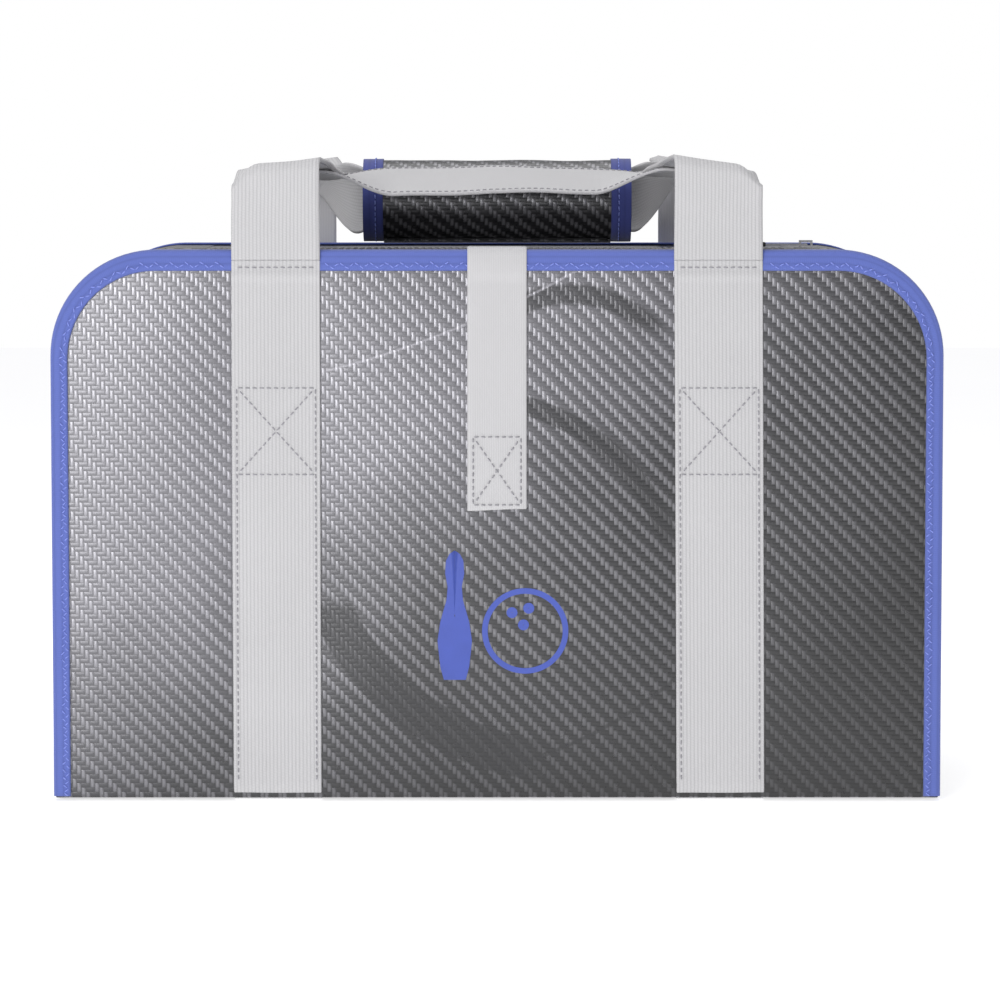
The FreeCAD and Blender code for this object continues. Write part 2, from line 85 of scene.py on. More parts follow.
# ------------------------------------------------------------------ node helpers
class Nodes:
    """Short calls for building one shader tree."""

    def __init__(self, name):
        self.mat = bpy.data.materials.new(name)
        self.mat.use_nodes = True
        self.tree = self.mat.node_tree
        self.bsdf = self.tree.nodes["Principled BSDF"]

    def new(self, kind, **props):
        node = self.tree.nodes.new(kind)
        for key, value in props.items():
            setattr(node, key, value)
        return node

    def link(self, a, b):
        self.tree.links.new(a, b)

    def put(self, socket, value):
        if isinstance(value, (int, float, tuple)):
            socket.default_value = value
        else:
            self.link(value, socket)

    def m(self, op, a, b=None, c=None):
        node = self.new("ShaderNodeMath", operation=op)
        for i, value in enumerate((a, b, c)):
            if value is not None:
                self.put(node.inputs[i], value)
        return node.outputs[0]

    def mul(self, a, b):
        return self.m("MULTIPLY", a, b)

    def add(self, a, b):
        return self.m("ADD", a, b)

    def sub(self, a, b):
        return self.m("SUBTRACT", a, b)

    def div(self, a, b):
        return self.m("DIVIDE", a, b)

    def mad(self, a, b, c):
        return self.m("MULTIPLY_ADD", a, b, c)

    def wave(self, value):
        return self.m("SINE", self.mul(value, math.pi))

    def ramp(self, value, start, width):
        """0 where value is at start, 1 from start + width on."""
        return self.clamp(self.div(self.sub(value, start), width))

    def clamp(self, value, lo=0.0, hi=1.0):
        node = self.new("ShaderNodeClamp")
        self.put(node.inputs[0], value)
        node.inputs[1].default_value, node.inputs[2].default_value = lo, hi
        return node.outputs[0]

    def uv(self):
        node = self.new("ShaderNodeSeparateXYZ")
        self.link(self.new("ShaderNodeUVMap").outputs[0], node.inputs[0])
        return node.outputs[0], node.outputs[1]

    def obj(self):
        """Object coordinates, which are the shared frame's, as every piece sits at the origin."""
        return self.new("ShaderNodeTexCoord").outputs["Object"]

    def xyz(self, vector):
        node = self.new("ShaderNodeSeparateXYZ")
        self.link(vector, node.inputs[0])
        return node.outputs

    def noise(self, vector, scale, detail=3.0, rough=0.55):
        node = self.new("ShaderNodeTexNoise")
        self.link(vector, node.inputs["Vector"])
        node.inputs["Scale"].default_value = scale
        node.inputs["Detail"].default_value = detail
        node.inputs["Roughness"].default_value = rough
        return node.outputs[0]

    def mix(self, factor, a, b):
        node = self.new("ShaderNodeMix", data_type="RGBA")
        self.put(node.inputs[0], factor)
        for socket, value in ((node.inputs[6], a), (node.inputs[7], b)):
            self.put(socket, (*value, 1.0) if isinstance(value, tuple) else value)
        return node.outputs[2]

    def bump(self, height, distance, strength=1.0, below=None):
        node = self.new("ShaderNodeBump")
        node.inputs["Distance"].default_value = distance
        node.inputs["Strength"].default_value = strength
        self.link(height, node.inputs["Height"])
        if below is not None:
            self.link(below, node.inputs["Normal"])
        return node.outputs[0]

    def done(self, color=None, rough=None, normal=None, **fixed):
        if color is not None:
            self.put(self.bsdf.inputs["Base Color"], (*color, 1.0) if isinstance(color, tuple) else color)
        if rough is not None:
            self.put(self.bsdf.inputs["Roughness"], rough)
        if normal is not None:
            self.link(normal, self.bsdf.inputs["Normal"])
        for key, value in fixed.items():
            self.bsdf.inputs[key.replace("_", " ")].default_value = value
        return self.mat


# ------------------------------------------------------------------ materials
TOW = 0.00255                          # width of one tow in the embossed twill
NEAR_BLACK = (0.010, 0.010, 0.012)
# the front's painted reflections, dark arcs and a light streak: centre (x, z), radius, half width and softness
# of the edge
BAND = ((0.045, 0.176), 0.154, 0.0125, 0.0012)
LINE = ((-0.060, 0.260), 0.249, 0.0016, 0.001)
STROKE = ((-0.0146, 0.1115), 0.1184, 0.0062, 0.0012)
CREST = ((0.0417, 0.2251), 0.064, 0.0070, 0.0025)
STREAK = ((-0.2501, 0.8335), 0.6078, 0.0010, 0.0008)


def arc_band(n, x, z, centre, radius, half, soft):
    """1 inside a band that follows a circle in the XZ plane, 0 outside."""
    dx, dz = n.sub(x, centre[0]), n.sub(z, centre[1])
    dist = n.m("SQRT", n.add(n.mul(dx, dx), n.mul(dz, dz)))
    off = n.m("ABSOLUTE", n.sub(dist, radius))
    return n.clamp(n.div(n.sub(half, off), soft))


def front_painted_light(n, obj, cloud, color):
    """The front's painted light: dark and light arcs that are painted reflections, over a painted fade from
    light at the upper left to shade at the lower right.
    """
    x, _y, z = n.xyz(obj)
    below = n.clamp(n.div(n.sub(0.118, z), 0.008))
    left = n.clamp(n.div(n.sub(0.040, x), 0.030))
    right = n.ramp(x, 0.005, 0.01)
    low = n.clamp(n.div(n.sub(0.1, z), 0.01))
    high = n.ramp(z, 0.140, 0.012)
    crown = n.ramp(z, 0.262, 0.012)
    middle = n.clamp(n.div(n.sub(0.100, n.m("ABSOLUTE", x)), 0.008))
    # masks of the painted reflections: dark band, line, stroke and crest, and the light streak
    band = n.mul(arc_band(n, x, z, *BAND), n.mul(below, left))
    line = n.mul(n.mul(arc_band(n, x, z, *LINE), right), low)
    stroke = n.mul(n.mul(arc_band(n, x, z, *STROKE), right), high)
    crest = n.mul(n.mul(arc_band(n, x, z, *CREST), right), n.mul(high, crown))
    streak = n.mul(n.mul(arc_band(n, x, z, *STREAK), middle), high)
    dark = n.clamp(n.add(n.add(band, line), n.mul(n.add(stroke, crest), 0.9)))
    # painted light and shade: lighter up and to the left, darker down and to the right, with random cloudiness
    fade = n.mad(z, 4.1, n.mad(x, -2.6, 0.38))
    fade = n.clamp(n.add(fade, n.mad(cloud, 0.5, -0.25)), 0.22, 1.42)
    # painted highlight: the most lit part of the fade turns paler
    pale = n.mul(n.clamp(n.mad(fade, 0.9, -0.75)), 0.60)
    shade = n.new("ShaderNodeVectorMath", operation="SCALE")
    n.link(n.mix(pale, color, (0.235, 0.23, 0.255)), shade.inputs[0])
    n.link(fade, shade.inputs[3])
    # the dark arcs laid over the twill: painted reflections
    color = n.mix(n.mul(dark, 0.80), shade.outputs[0], NEAR_BLACK)
    # the light streak: a painted reflection
    return n.mix(n.mul(streak, 0.5), color, (0.42, 0.41, 0.45))


def vinyl_material(name, painted_front_light=False):
    """Glossy vinyl embossed with a 2/2 twill: tows that pass over two and under two."""
    n = Nodes(name)
    u, v = n.uv()
    a, b = n.div(u, TOW), n.div(v, TOW)
    ia, ib = n.m("FLOOR", a), n.m("FLOOR", b)
    fa, fb = n.sub(a, ia), n.sub(b, ib)
    warp = n.m("LESS_THAN", n.m("FLOORED_MODULO", n.add(ia, ib), 4.0), 1.5)
    run_warp = n.div(n.m("FLOORED_MODULO", n.add(ia, b), 4.0), 2.0)
    run_weft = n.sub(n.div(n.m("FLOORED_MODULO", n.add(a, ib), 4.0), 2.0), 1.0)

    def crown(across, along):
        side = n.m("POWER", n.clamp(n.wave(across)), 0.55)
        length = n.m("POWER", n.clamp(n.wave(along)), 0.4)
        return n.mul(side, n.mad(length, 0.75, 0.25))

    high_warp = n.mul(crown(fa, run_warp), warp)
    high_weft = n.mul(crown(fb, run_weft), n.sub(1.0, warp))
    height = n.mad(high_weft, 0.6, high_warp)
    fibre_coord = n.new("ShaderNodeCombineXYZ")
    n.put(fibre_coord.inputs[0], n.mul(u, n.mad(warp, 3600.0, 500.0)))
    n.put(fibre_coord.inputs[1], n.mul(v, n.mad(warp, -3600.0, 4100.0)))
    fibre = n.noise(fibre_coord.outputs[0], 1.0, 1.0)
    obj = n.obj()
    cloud = n.noise(obj, 9.0, 3.0)
    tone = n.mul(n.mul(height, n.mad(fibre, 0.7, 0.45)), n.mad(warp, 0.88, 0.22))
    tone = n.clamp(n.mul(tone, n.mad(cloud, 0.5, 0.75)))
    color = n.mix(tone, NEAR_BLACK, (0.20, 0.197, 0.215))
    # on the front wall, painted reflections and a painted fade of light to shade over the twill
    if painted_front_light:
        color = front_painted_light(n, obj, cloud, color)
    scuff = n.noise(obj, 140.0, 4.0, 0.7)
    rough = n.mad(n.mul(scuff, scuff), 0.22, 0.24)
    relief = n.bump(height, 0.00028, 0.9)
    relief = n.bump(n.noise(obj, 900.0, 2.0), 0.00004, 0.5, relief)
    return n.done(color, rough, relief, Metallic=0.45, Coat_Weight=0.6, Coat_Roughness=0.3,
                  Specular_IOR_Level=0.8)


def webbing_material(name, light, rib=0.0021, pick=0.0015, depth=0.00022):
    """Ribbed webbing: ribs along the band, crossed by fine picks."""
    n = Nodes(name)
    u, v = n.uv()
    a = n.div(u, rib)
    column = n.m("FLOOR", a)
    across = n.m("ABSOLUTE", n.wave(a))
    shift = n.mul(n.m("FLOORED_MODULO", column, 2.0), 0.5)
    along = n.m("ABSOLUTE", n.wave(n.add(n.div(v, pick), shift)))
    height = n.mul(n.m("POWER", across, 0.5), n.mad(along, 0.3, 0.7))
    obj = n.obj()
    soil = n.noise(obj, 26.0, 4.0)
    fuzz = n.noise(obj, 1500.0, 2.0)
    tone = n.clamp(n.mul(n.mad(height, 0.55, 0.5), n.mad(soil, 0.25, 0.86)))
    dark = tuple(0.55 * c for c in light)
    color = n.mix(tone, dark, light)
    rough = n.mad(fuzz, 0.2, 0.68)
    relief = n.bump(height, depth, 0.9)
    relief = n.bump(fuzz, 0.00006, 0.5, relief)
    return n.done(color, rough, relief, Sheen_Weight=0.25, Sheen_Roughness=0.5, Specular_IOR_Level=0.35)


def cloth_material(name, light, pitch=0.0009, depth=0.0001, rough_at=0.8, sheen=0.3):
    """Plain weave from object coordinates, for cloth with no band direction."""
    n = Nodes(name)
    obj = n.obj()
    x, y, z = n.xyz(obj)

    def wave(value, offset=0.0):
        return n.m("SINE", n.mad(value, math.pi / pitch, offset))

    grid = n.mul(wave(n.add(x, y)), wave(n.add(z, n.mul(y, 0.5)), 0.7))
    height = n.mad(grid, 0.5, 0.5)
    soil = n.noise(obj, 30.0, 4.0)
    tone = n.clamp(n.mul(n.mad(height, 0.5, 0.5), n.mad(soil, 0.4, 0.8)))
    color = n.mix(tone, tuple(0.45 * c for c in light), light)
    rough = n.mad(soil, 0.15, rough_at - 0.08)
    relief = n.bump(height, depth, 0.8)
    relief = n.bump(n.noise(obj, 1800.0, 2.0), 0.00004, 0.5, relief)
    return n.done(color, rough, relief, Sheen_Weight=sheen, Sheen_Roughness=0.4)


def plain_material(name, light, rough_at, metal=0.0, grain=500.0, depth=0.00003, spec=0.5):
    """Metal, plastic, rubber or foam with fine grain, smudges and worn tones."""
    n = Nodes(name)
    obj = n.obj()
    smudge = n.noise(obj, 60.0, 4.0, 0.65)
    fine = n.noise(obj, grain, 3.0)
    color = n.mix(smudge, tuple(0.75 * c for c in light), light)
    rough = n.clamp(n.mad(smudge, 0.25, rough_at - 0.1), 0.05, 1.0)
    return n.done(color, rough, n.bump(fine, depth, 0.6), Metallic=metal, Specular_IOR_Level=spec)


VINYL = vinyl_material("carbon_vinyl_skin")
# the front wall's vinyl carries painted reflections and a painted fade of light to shade
VINYL_FRONT = vinyl_material("carbon_vinyl_front_painted_light", painted_front_light=True)
WEBBING = webbing_material("grey_ribbed_webbing", (0.525, 0.52, 0.53))
SMOOTH = webbing_material("grey_smooth_webbing", (0.54, 0.535, 0.545), 0.0010, 0.0009, 0.00007)
BINDING = webbing_material("blue_edge_tape", (0.105, 0.145, 0.45), 0.0040, 0.0011, 0.00012)
# a darker copy of the blue edge tape: painted shade for the grip wrap's taped ends, which lie in shadow
SHADED_BINDING = webbing_material("blue_edge_tape_painted_shade", (0.052, 0.068, 0.27), 0.0040, 0.0011, 0.00012)
ZIP_CLOTH = webbing_material("black_zip_tape", (0.028, 0.028, 0.032), 0.0011, 0.0008, 0.0001)
LINING = cloth_material("black_lining_cloth", (0.032, 0.032, 0.036))
FOAM = plain_material("charcoal_foam", (0.075, 0.075, 0.082), 0.93, 0.0, 1400.0, 0.00035, 0.2)
TOUCH = plain_material("hook_and_loop", (0.03, 0.03, 0.033), 0.95, 0.0, 2600.0, 0.0006, 0.2)
THREAD_GREY = cloth_material("grey_thread", (0.34, 0.335, 0.36), 0.0004, 0.00005)
THREAD_BLUE = cloth_material("blue_thread", (0.24, 0.30, 0.80), 0.0004, 0.00005)
METAL = plain_material("nickel_plate", (0.72, 0.72, 0.74), 0.25, 1.0)
RUBBER = plain_material("pull_rubber_skin", (0.03, 0.03, 0.033), 0.6)
COIL = plain_material("nylon_coil", (0.035, 0.035, 0.04), 0.38)
PRINT = plain_material("blue_print", (0.055, 0.095, 0.46), 0.4, 0.0, 1200.0, 0.00005)


# ------------------------------------------------------------------ mesh helpers
def finish_piece(ob, body, material, nodes=()):
    """Gives a piece its material and its body, and hides the CAD nodes that it stands for."""
    if not ob.data.materials:
        ob.data.materials.append(material)
    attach(ob, body)
    if nodes:
        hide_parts(*nodes)
    return ob


def make(name, verts, faces, uvs=None, smooth=True):
    """A mesh object from vertices, faces and per-vertex UVs in metres."""
    mesh = bpy.data.meshes.new(name)
    mesh.from_pydata([tuple(map(float, v)) for v in verts], [], [tuple(map(int, f)) for f in faces])
    if uvs is not None:
        layer = mesh.uv_layers.new(name="UVMap")
        index = np.empty(len(mesh.loops), dtype=np.int32)
        mesh.loops.foreach_get("vertex_index", index)
        layer.data.foreach_set("uv", np.asarray(uvs, dtype=np.float32)[index].ravel())
    if smooth:
        mesh.polygons.foreach_set("use_smooth", [True] * len(mesh.polygons))
    mesh.update()
    ob = bpy.data.objects.new(name, mesh)
    bpy.context.scene.collection.objects.link(ob)
    return ob


def grid_faces(rows, cols, skip=None):
    """Quads of a rows x cols grid, with those left out where skip(row, col) is true."""
    faces = []
    for r in range(rows - 1):
        for c in range(cols - 1):
            if skip is None or not skip(r, c):
                i = r * cols + c
                faces.append((i, i + 1, i + cols + 1, i + cols))
    return faces


def surface(rows, cols, point):
    """The array of point(row, col) over a rows x cols grid."""
    return np.array([[point(r, c) for c in range(cols)] for r in range(rows)], dtype=float)


def between(lo, hi, i, count):
    """The i-th of count evenly spaced values from lo to hi."""
    return lo + (hi - lo) * i / (count - 1)


def grid(name, pts, uv, skip=None):
    """A sheet from arrays pts[rows, cols, 3] and uv[rows, cols, 2]."""
    rows, cols = pts.shape[:2]
    return make(name, pts.reshape(-1, 3), grid_faces(rows, cols, skip), uv.reshape(-1, 2))


def thicken(ob, amount, offset=-1.0, bevel=0.0):
    """Solid thickness; offset -1 grows it against the normal, 1 along it."""
    mod = ob.modifiers.new("thickness", "SOLIDIFY")
    mod.thickness, mod.offset = amount, offset
    if bevel:
        edge = ob.modifiers.new("edge", "BEVEL")
        edge.width, edge.segments, edge.limit_method = bevel, 2, "ANGLE"
        edge.angle_limit = math.radians(50)
    return ob


def face_out(ob, centre):
    """Turns a sheet's faces so that they look away from a point."""
    mesh = ob.data
    total = 0.0
    for poly in mesh.polygons:
        total += poly.normal.dot(poly.center - Vector(centre)) * poly.area
    if total < 0:
        mesh.flip_normals()
    return ob


def mirrored(pts, x=False, y=False):
    out = np.array(pts, dtype=float)
    if x:
        out[..., 0] *= -1
    if y:
        out[..., 1] *= -1
    return out


def smooth_step(t):
    t = np.clip(t, 0.0, 1.0)
    return t * t * (3 - 2 * t)


def ripple(p, scale, seed=0.0):
    """Smooth noise from -1 to 1."""
    return noise.noise(Vector((p[0] * scale + seed, p[1] * scale - seed, p[2] * scale + 2 * seed)))


def stitches(name, runs, body, material, pitch=0.0040, length=0.0029, radius=0.00042):
    """Sewn thread: for each run of (point, outward normal) pairs, a row of sunken-ended stitches."""
    verts, faces = [], []
    ring = 6
    profile = [(-0.5, 0.25), (-0.36, 0.85), (0.0, 1.0), (0.36, 0.85), (0.5, 0.25)]
    for run in runs:
        pts = [Vector(p) for p, _n in run]
        nrm = [Vector(q).normalized() for _p, q in run]
        cum = [0.0]
        for p, q in zip(pts, pts[1:]):
            cum.append(cum[-1] + (q - p).length)
        count = max(1, int(round(cum[-1] / pitch)))
        seg = 0
        for k in range(count):
            at = (k + 0.5) * cum[-1] / count
            while seg < len(cum) - 2 and cum[seg + 1] < at:
                seg += 1
            f = (at - cum[seg]) / max(cum[seg + 1] - cum[seg], 1e-9)
            mid = pts[seg].lerp(pts[seg + 1], f)
            up = nrm[seg].lerp(nrm[seg + 1], f).normalized()
            along = (pts[seg + 1] - pts[seg]).normalized()
            side = up.cross(along).normalized()
            along = (along + side * rng.uniform(-0.10, 0.10)).normalized()
            base = len(verts)
            for s, w in profile:
                lift = radius * (0.55 if abs(s) < 0.45 else -0.9)
                centre = mid + along * (s * length) + up * lift
                for j in range(ring):
                    t = 2 * math.pi * j / ring
                    verts.append(centre + (side * math.cos(t) + up * math.sin(t)) * radius * w)
            for i in range(len(profile) - 1):
                for j in range(ring):
                    a, b = base + i * ring + j, base + i * ring + (j + 1) % ring
                    faces.append((a, b, b + ring, a + ring))
            faces.append(tuple(base + j for j in reversed(range(ring))))
            end = base + (len(profile) - 1) * ring
            faces.append(tuple(end + j for j in range(ring)))
    ob = make(name, verts, faces)
    return finish_piece(ob, body, material)


# ------------------------------------------------------------------ the padded walls
def half_width(z, inset=0.0):
    """Half width of the panel's outline at height z."""
    half, top = HALF_W - inset, TOP - inset
    r = CORNER - inset
    if z > top - r:
        d = min(z - (top - r), r)
        return half - r + math.sqrt(max(r * r - d * d, 0.0))
    if z < FLOOR + FOOT:
        d = FLOOR + FOOT - z
        return half - FOOT + math.sqrt(max(FOOT * FOOT - d * d, 0.0))
    return half


def wall_rows(inset, count=46):
    """Heights of the panel's rows, closer together round the corners."""
    top, r = TOP - inset, CORNER - inset
    zs = list(np.linspace(FLOOR + 0.001, FLOOR + FOOT, 3, endpoint=False))
    zs += list(np.linspace(FLOOR + FOOT, top - r, count, endpoint=False))
    zs += [top - r + r * math.sin(t) for t in np.linspace(0, math.pi / 2, 15)]
    return zs


def crown_rest(x, z, seed):
    """How far the padded wall stands proud of its flat plane, before the cloth simulation."""
    u = x / HALF_W
    w = (z - FLOOR) / (TOP - FLOOR)
    hill = max(0.0, 1 - abs(u) ** 3) * max(0.0, math.sin(math.pi * min(max(w, 0), 1))) ** 0.6
    pull = math.exp(-(((abs(x) - STRAP_X) / (WEB * 0.45)) ** 4))
    soft = ripple((x, 0, z), 9.0, seed) * 0.0007 + ripple((x, 0, z), 24.0, seed + 3) * 0.0003
    edge = min(1.0, (HALF_W - abs(x)) / 0.03, (TOP - z) / 0.03)
    return 0.0030 * hill - 0.0011 * pull * hill + soft * max(edge, 0.0)


def inflate(pts, held, pressure, cap, frames=20):
    """Cloth simulation of a grid sheet held at some points: returns the moved points."""
    rows, cols = pts.shape[:2]
    ob = make("inflating", pts.reshape(-1, 3), grid_faces(rows, cols))
    group = ob.vertex_groups.new(name="held")
    group.add([int(i) for i in np.nonzero(held.ravel())[0]], 1.0, "REPLACE")
    mod = ob.modifiers.new("cloth", "CLOTH")
    cloth = mod.settings
    cloth.quality = 6
    cloth.mass = 0.3
    cloth.tension_stiffness = cloth.compression_stiffness = 25
    cloth.shear_stiffness = 12
    cloth.bending_stiffness = 2.0
    cloth.use_pressure = True
    cloth.uniform_pressure_force = pressure
    cloth.effector_weights.gravity = 0
    cloth.vertex_group_mass = "held"
    mod.collision_settings.use_collision = False
    mod.point_cache.frame_start, mod.point_cache.frame_end = 1, frames
    scene = bpy.context.scene
    for f in range(1, frames + 1):
        scene.frame_set(f)
    dg = bpy.context.evaluated_depsgraph_get()
    got = np.empty(rows * cols * 3)
    ob.evaluated_get(dg).data.vertices.foreach_get("co", got)
    scene.frame_set(1)
    bpy.data.objects.remove(ob)
    moved = got.reshape(pts.shape) - pts
    size = np.linalg.norm(moved, axis=2, keepdims=True)
    return pts + moved * np.minimum(1.0, cap / np.maximum(size, 1e-9))


PRESSURE = 2.2                         # of the padding behind the skin, in the simulation's units
MOST_RISE = 0.0040                     # the farthest that a point of the skin may move


class Wall:
    """One padded wall: its surface as a grid, and heights read back from it."""

    def __init__(self, seed):
        self.zs = np.array(wall_rows(TAPE_T))
        self.us = np.linspace(-1, 1, 97)
        self.half = np.array([half_width(z, TAPE_T) for z in self.zs])

        def point(r, c):
            x, z = self.us[c] * self.half[r], self.zs[r]
            return x, -FACE_Y - crown_rest(x, z, seed), z

        pts = surface(len(self.zs), len(self.us), point)
        held = np.zeros(pts.shape[:2], dtype=bool)
        held[:, 0] = held[:, -1] = held[0] = held[-1] = True
        edge = np.abs(np.abs(pts[..., 0]) - STRAP_X)
        held |= np.abs(edge - WEB * 0.45) < 0.0028
        pts = self.calm(inflate(pts, held, PRESSURE, MOST_RISE), pts)
        self.pts = pts

    def calm(self, got, rest):
        """Keeps the sheet on its own x and z, takes the new depth, and softens it a little."""
        out = rest.copy()
        depth = np.clip(got[..., 1], rest[..., 1] - MOST_RISE, rest[..., 1] + 0.0015)
        for _ in range(2):
            depth[1:-1, 1:-1] = (
                depth[1:-1, 1:-1] * 2 + depth[2:, 1:-1] + depth[:-2, 1:-1]
                + depth[1:-1, 2:] + depth[1:-1, :-2]
            ) / 6
        out[..., 1] = depth
        return out

    def depth(self, x, z):
        """Y of the wall's outer surface at a point, as for the front wall."""
        z = min(max(z, self.zs[0]), self.zs[-1])
        r = min(max(int(np.searchsorted(self.zs, z)) - 1, 0), len(self.zs) - 2)
        f = (z - self.zs[r]) / (self.zs[r + 1] - self.zs[r])
        half = self.half[r] * (1 - f) + self.half[r + 1] * f
        u = (min(max(x / half, -1), 1) + 1) / 2 * (len(self.us) - 1)
        c = min(int(u), len(self.us) - 2)
        g = u - c
        y = self.pts[..., 1]
        near = y[r, c] * (1 - g) + y[r, c + 1] * g
        far = y[r + 1, c] * (1 - g) + y[r + 1, c + 1] * g
        return near * (1 - f) + far * f


WALLS = {"front": Wall(1.7), "rear": Wall(5.2)}

def padded_wall(side, flip):
    """The wall's skin and padding in one piece."""
    pts = mirrored(WALLS[side].pts, y=flip)
    uv = np.stack([pts[..., 0] * (-1 if flip else 1), pts[..., 2]], axis=-1)
    ob = grid(side + "_padded_wall", pts, uv)
    face_out(ob, (0, 0, TOP / 2))
    thicken(ob, FACE_Y - INNER_Y - 0.0016, -1.0, 0.0012)
    skin = VINYL_FRONT if side == "front" else VINYL
    finish_piece(ob, "bag_shell", skin, (side + "_face_vinyl", side + "_foam_board"))


def quilted_lining(side, flip):
    """Black lining on the wall's inner face, quilted in diamonds."""
    rows, cols = 60, 90
    inset, diamond, puff = 0.004, 0.05, 0.0007

    def point(r, c):
        z = BASE_HI[2] + 0.0005 + (TOP - inset - 0.002 - BASE_HI[2]) * r / (rows - 1)
        x = (2 * c / (cols - 1) - 1) * half_width(z, inset)
        cell = abs(math.sin(math.pi * (x + z) / diamond) * math.sin(math.pi * (x - z) / diamond))
        return x, -INNER_Y - 0.0004 + puff * cell ** 0.5, z

    pts = mirrored(surface(rows, cols, point), y=flip)
    ob = grid(side + "_quilted_lining", pts, pts[..., (0, 2)])
    face_out(ob, (0, 1 if flip else -1, TOP / 2))
    thicken(ob, 0.0007, -1.0)
    finish_piece(ob, "bag_shell", LINING, (side + "_wall_lining",))


for side, flip in SIDES:
    padded_wall(side, flip)
    quilted_lining(side, flip)


# ------------------------------------------------------------------ edge tape
def outline_path(inset=0.0, step=0.004):
    """Points (x, z, outward x, outward z) round the panel from the left foot to the right foot."""
    half, top, r = HALF_W - inset, TOP - inset, CORNER - inset
    out = []
    rise = int((top - r - FLOOR) / step)
    for i in range(rise):
        out.append((-half, FLOOR + 0.0012 + (top - r - FLOOR) * i / rise, -1.0, 0.0))
    for t in np.linspace(math.pi, math.pi / 2, 22):
        out.append((-half + r + r * math.cos(t), top - r + r * math.sin(t), math.cos(t), math.sin(t)))
    for x in np.linspace(-half + r, half - r, 90)[1:-1]:
        out.append((x, top, 0.0, 1.0))
    out += [(-x, z, -nx, nz) for x, z, nx, nz in reversed(out[: rise + 22])]
    return out


def edge_tape(side, flip):
    """Tape folded over the panel's edge, with a soft rolled edge and a row of zigzag stitches."""
    wall = WALLS[side]
    path = outline_path()
    section = []                                   # (inwards from the edge, depth from the face)
    narrow = 0.84                                  # the tape's face is narrower on the sides
    for s in np.linspace(TAPE_W, 0.0035, 6):
        section.append((s, -TAPE_T))
    for t in np.linspace(0, math.pi / 2, 6)[1:]:
        section.append((0.0030 * (1 - math.sin(t)), 0.0030 * (1 - math.cos(t)) - TAPE_T))
    for d in np.linspace(0.0045, TAPE_W, 5):
        section.append((0.0, d - TAPE_T + 0.0006))
    pts = np.zeros((len(path), len(section), 3))
    uv = np.zeros((len(path), len(section), 2))
    far = 0.0
    for r, (x, z, nx, nz) in enumerate(path):
        if r:
            far += math.hypot(x - path[r - 1][0], z - path[r - 1][1])
        reach = 0.0
        width = narrow + (1 - narrow) * max(nz, 0.0)
        for c, (s, d) in enumerate(section):
            s = s * width
            px, pz = x - nx * s, z - nz * s
            ease = smooth_step((s - 0.002) / 0.008)
            face = -FACE_Y + (wall.depth(px, pz) + FACE_Y) * float(ease)
            wob = ripple((px, 0, pz), 60.0, 4.0) * 0.00025
            pts[r, c] = (px, face + d - wob, pz)
            if c:
                reach += float(np.linalg.norm(pts[r, c] - pts[r, c - 1]))
            uv[r, c] = (reach, far)
    pts = mirrored(pts, y=flip)
    ob = grid(side + "_edge_tape", pts, uv)
    face_out(ob, (0, -0.10 if not flip else 0.10, TOP / 2))
    thicken(ob, TAPE_T * 0.8, -1.0)
    finish_piece(ob, "bag_shell", BINDING, (side + "_binding",))
    runs, zig = [], []
    for i, (x, z, nx, nz) in enumerate(outline_path(0.0, 0.0021)):
        s = TAPE_W * (0.62 if i % 2 else 0.86) * (narrow + (1 - narrow) * max(nz, 0.0))
        px, pz = x - nx * s, z - nz * s
        if any(abs(px - k) < WEB / 2 + 0.001 for k in (-STRAP_X, STRAP_X)) and pz > TOP - 0.03:
            if len(zig) > 1:
                runs.append(zig)
            zig = []
            continue
        y = wall.depth(px, pz) - TAPE_T
        zig.append(((px, -y if flip else y, pz), (0, 1 if flip else -1, 0)))
    runs.append(zig)
    stitches(side + "_edge_tape_stitches", runs, "bag_shell", THREAD_BLUE,
             0.0034, 0.0027, 0.00036)


for side, flip in SIDES:
    edge_tape(side, flip)


# ------------------------------------------------------------------ side walls and base
def side_wall(name, node, flip):
    """Side wall from the base round the corner to the end of the mouth, bowed out a little."""
    r = CORNER - TAPE_T
    half, top = HALF_W - TAPE_T, TOP - TAPE_T
    line = [(-half, z) for z in np.linspace(BASE_HI[2], top - r, 44, endpoint=False)]
    line += [(-half + r - r * math.cos(t), top - r + r * math.sin(t)) for t in np.linspace(0, math.pi / 2, 22)]
    line += [(x, top) for x in np.linspace(-half + r, FLAP_LO[0] - 0.0004, 8)[1:]]
    slot_half, slot_x = -FLAP_HI[1], -HALF_W + CORNER - 0.004
    edge = INNER_Y - 0.0003
    ys = np.unique(np.concatenate([np.linspace(-edge, -slot_half, 18), np.linspace(-slot_half, slot_half, 7),
                                   np.linspace(slot_half, edge, 18)]))
    pts, uv = np.zeros((len(line), len(ys), 3)), np.zeros((len(line), len(ys), 2))
    far = 0.0
    for i, (x, z) in enumerate(line):
        if i:
            far += math.hypot(x - line[i - 1][0], z - line[i - 1][1])
        bow = 0.0055 * math.sin(math.pi * min((z - FLOOR) / (TOP - FLOOR), 1.0)) ** 0.8
        for j, y in enumerate(ys):
            body = max(0.0, 1 - (y / edge) ** 2)
            wave = ripple((x, y, z), 14.0, 8.0) * 0.0010 * body
            pts[i, j] = (x - bow * body - wave, y, z)
            uv[i, j] = (y, far)
        if x > slot_x:                             # flat round the end of the zip
            pts[i, :, 0] = x
            pts[i, :, 2] = top - 0.0002

    def in_slot(i, j):
        return line[i][0] > slot_x - 0.001 and abs((ys[j] + ys[j + 1]) / 2) < slot_half

    ob = grid(name, mirrored(pts, x=flip), uv, in_slot)
    face_out(ob, (0, 0, TOP / 2))
    thicken(ob, 0.0026, -1.0, 0.0006)
    finish_piece(ob, "bag_shell", VINYL, (node,))


side_wall("left_side_wall", "left_gusset", False)
side_wall("right_side_wall", "right_gusset", True)


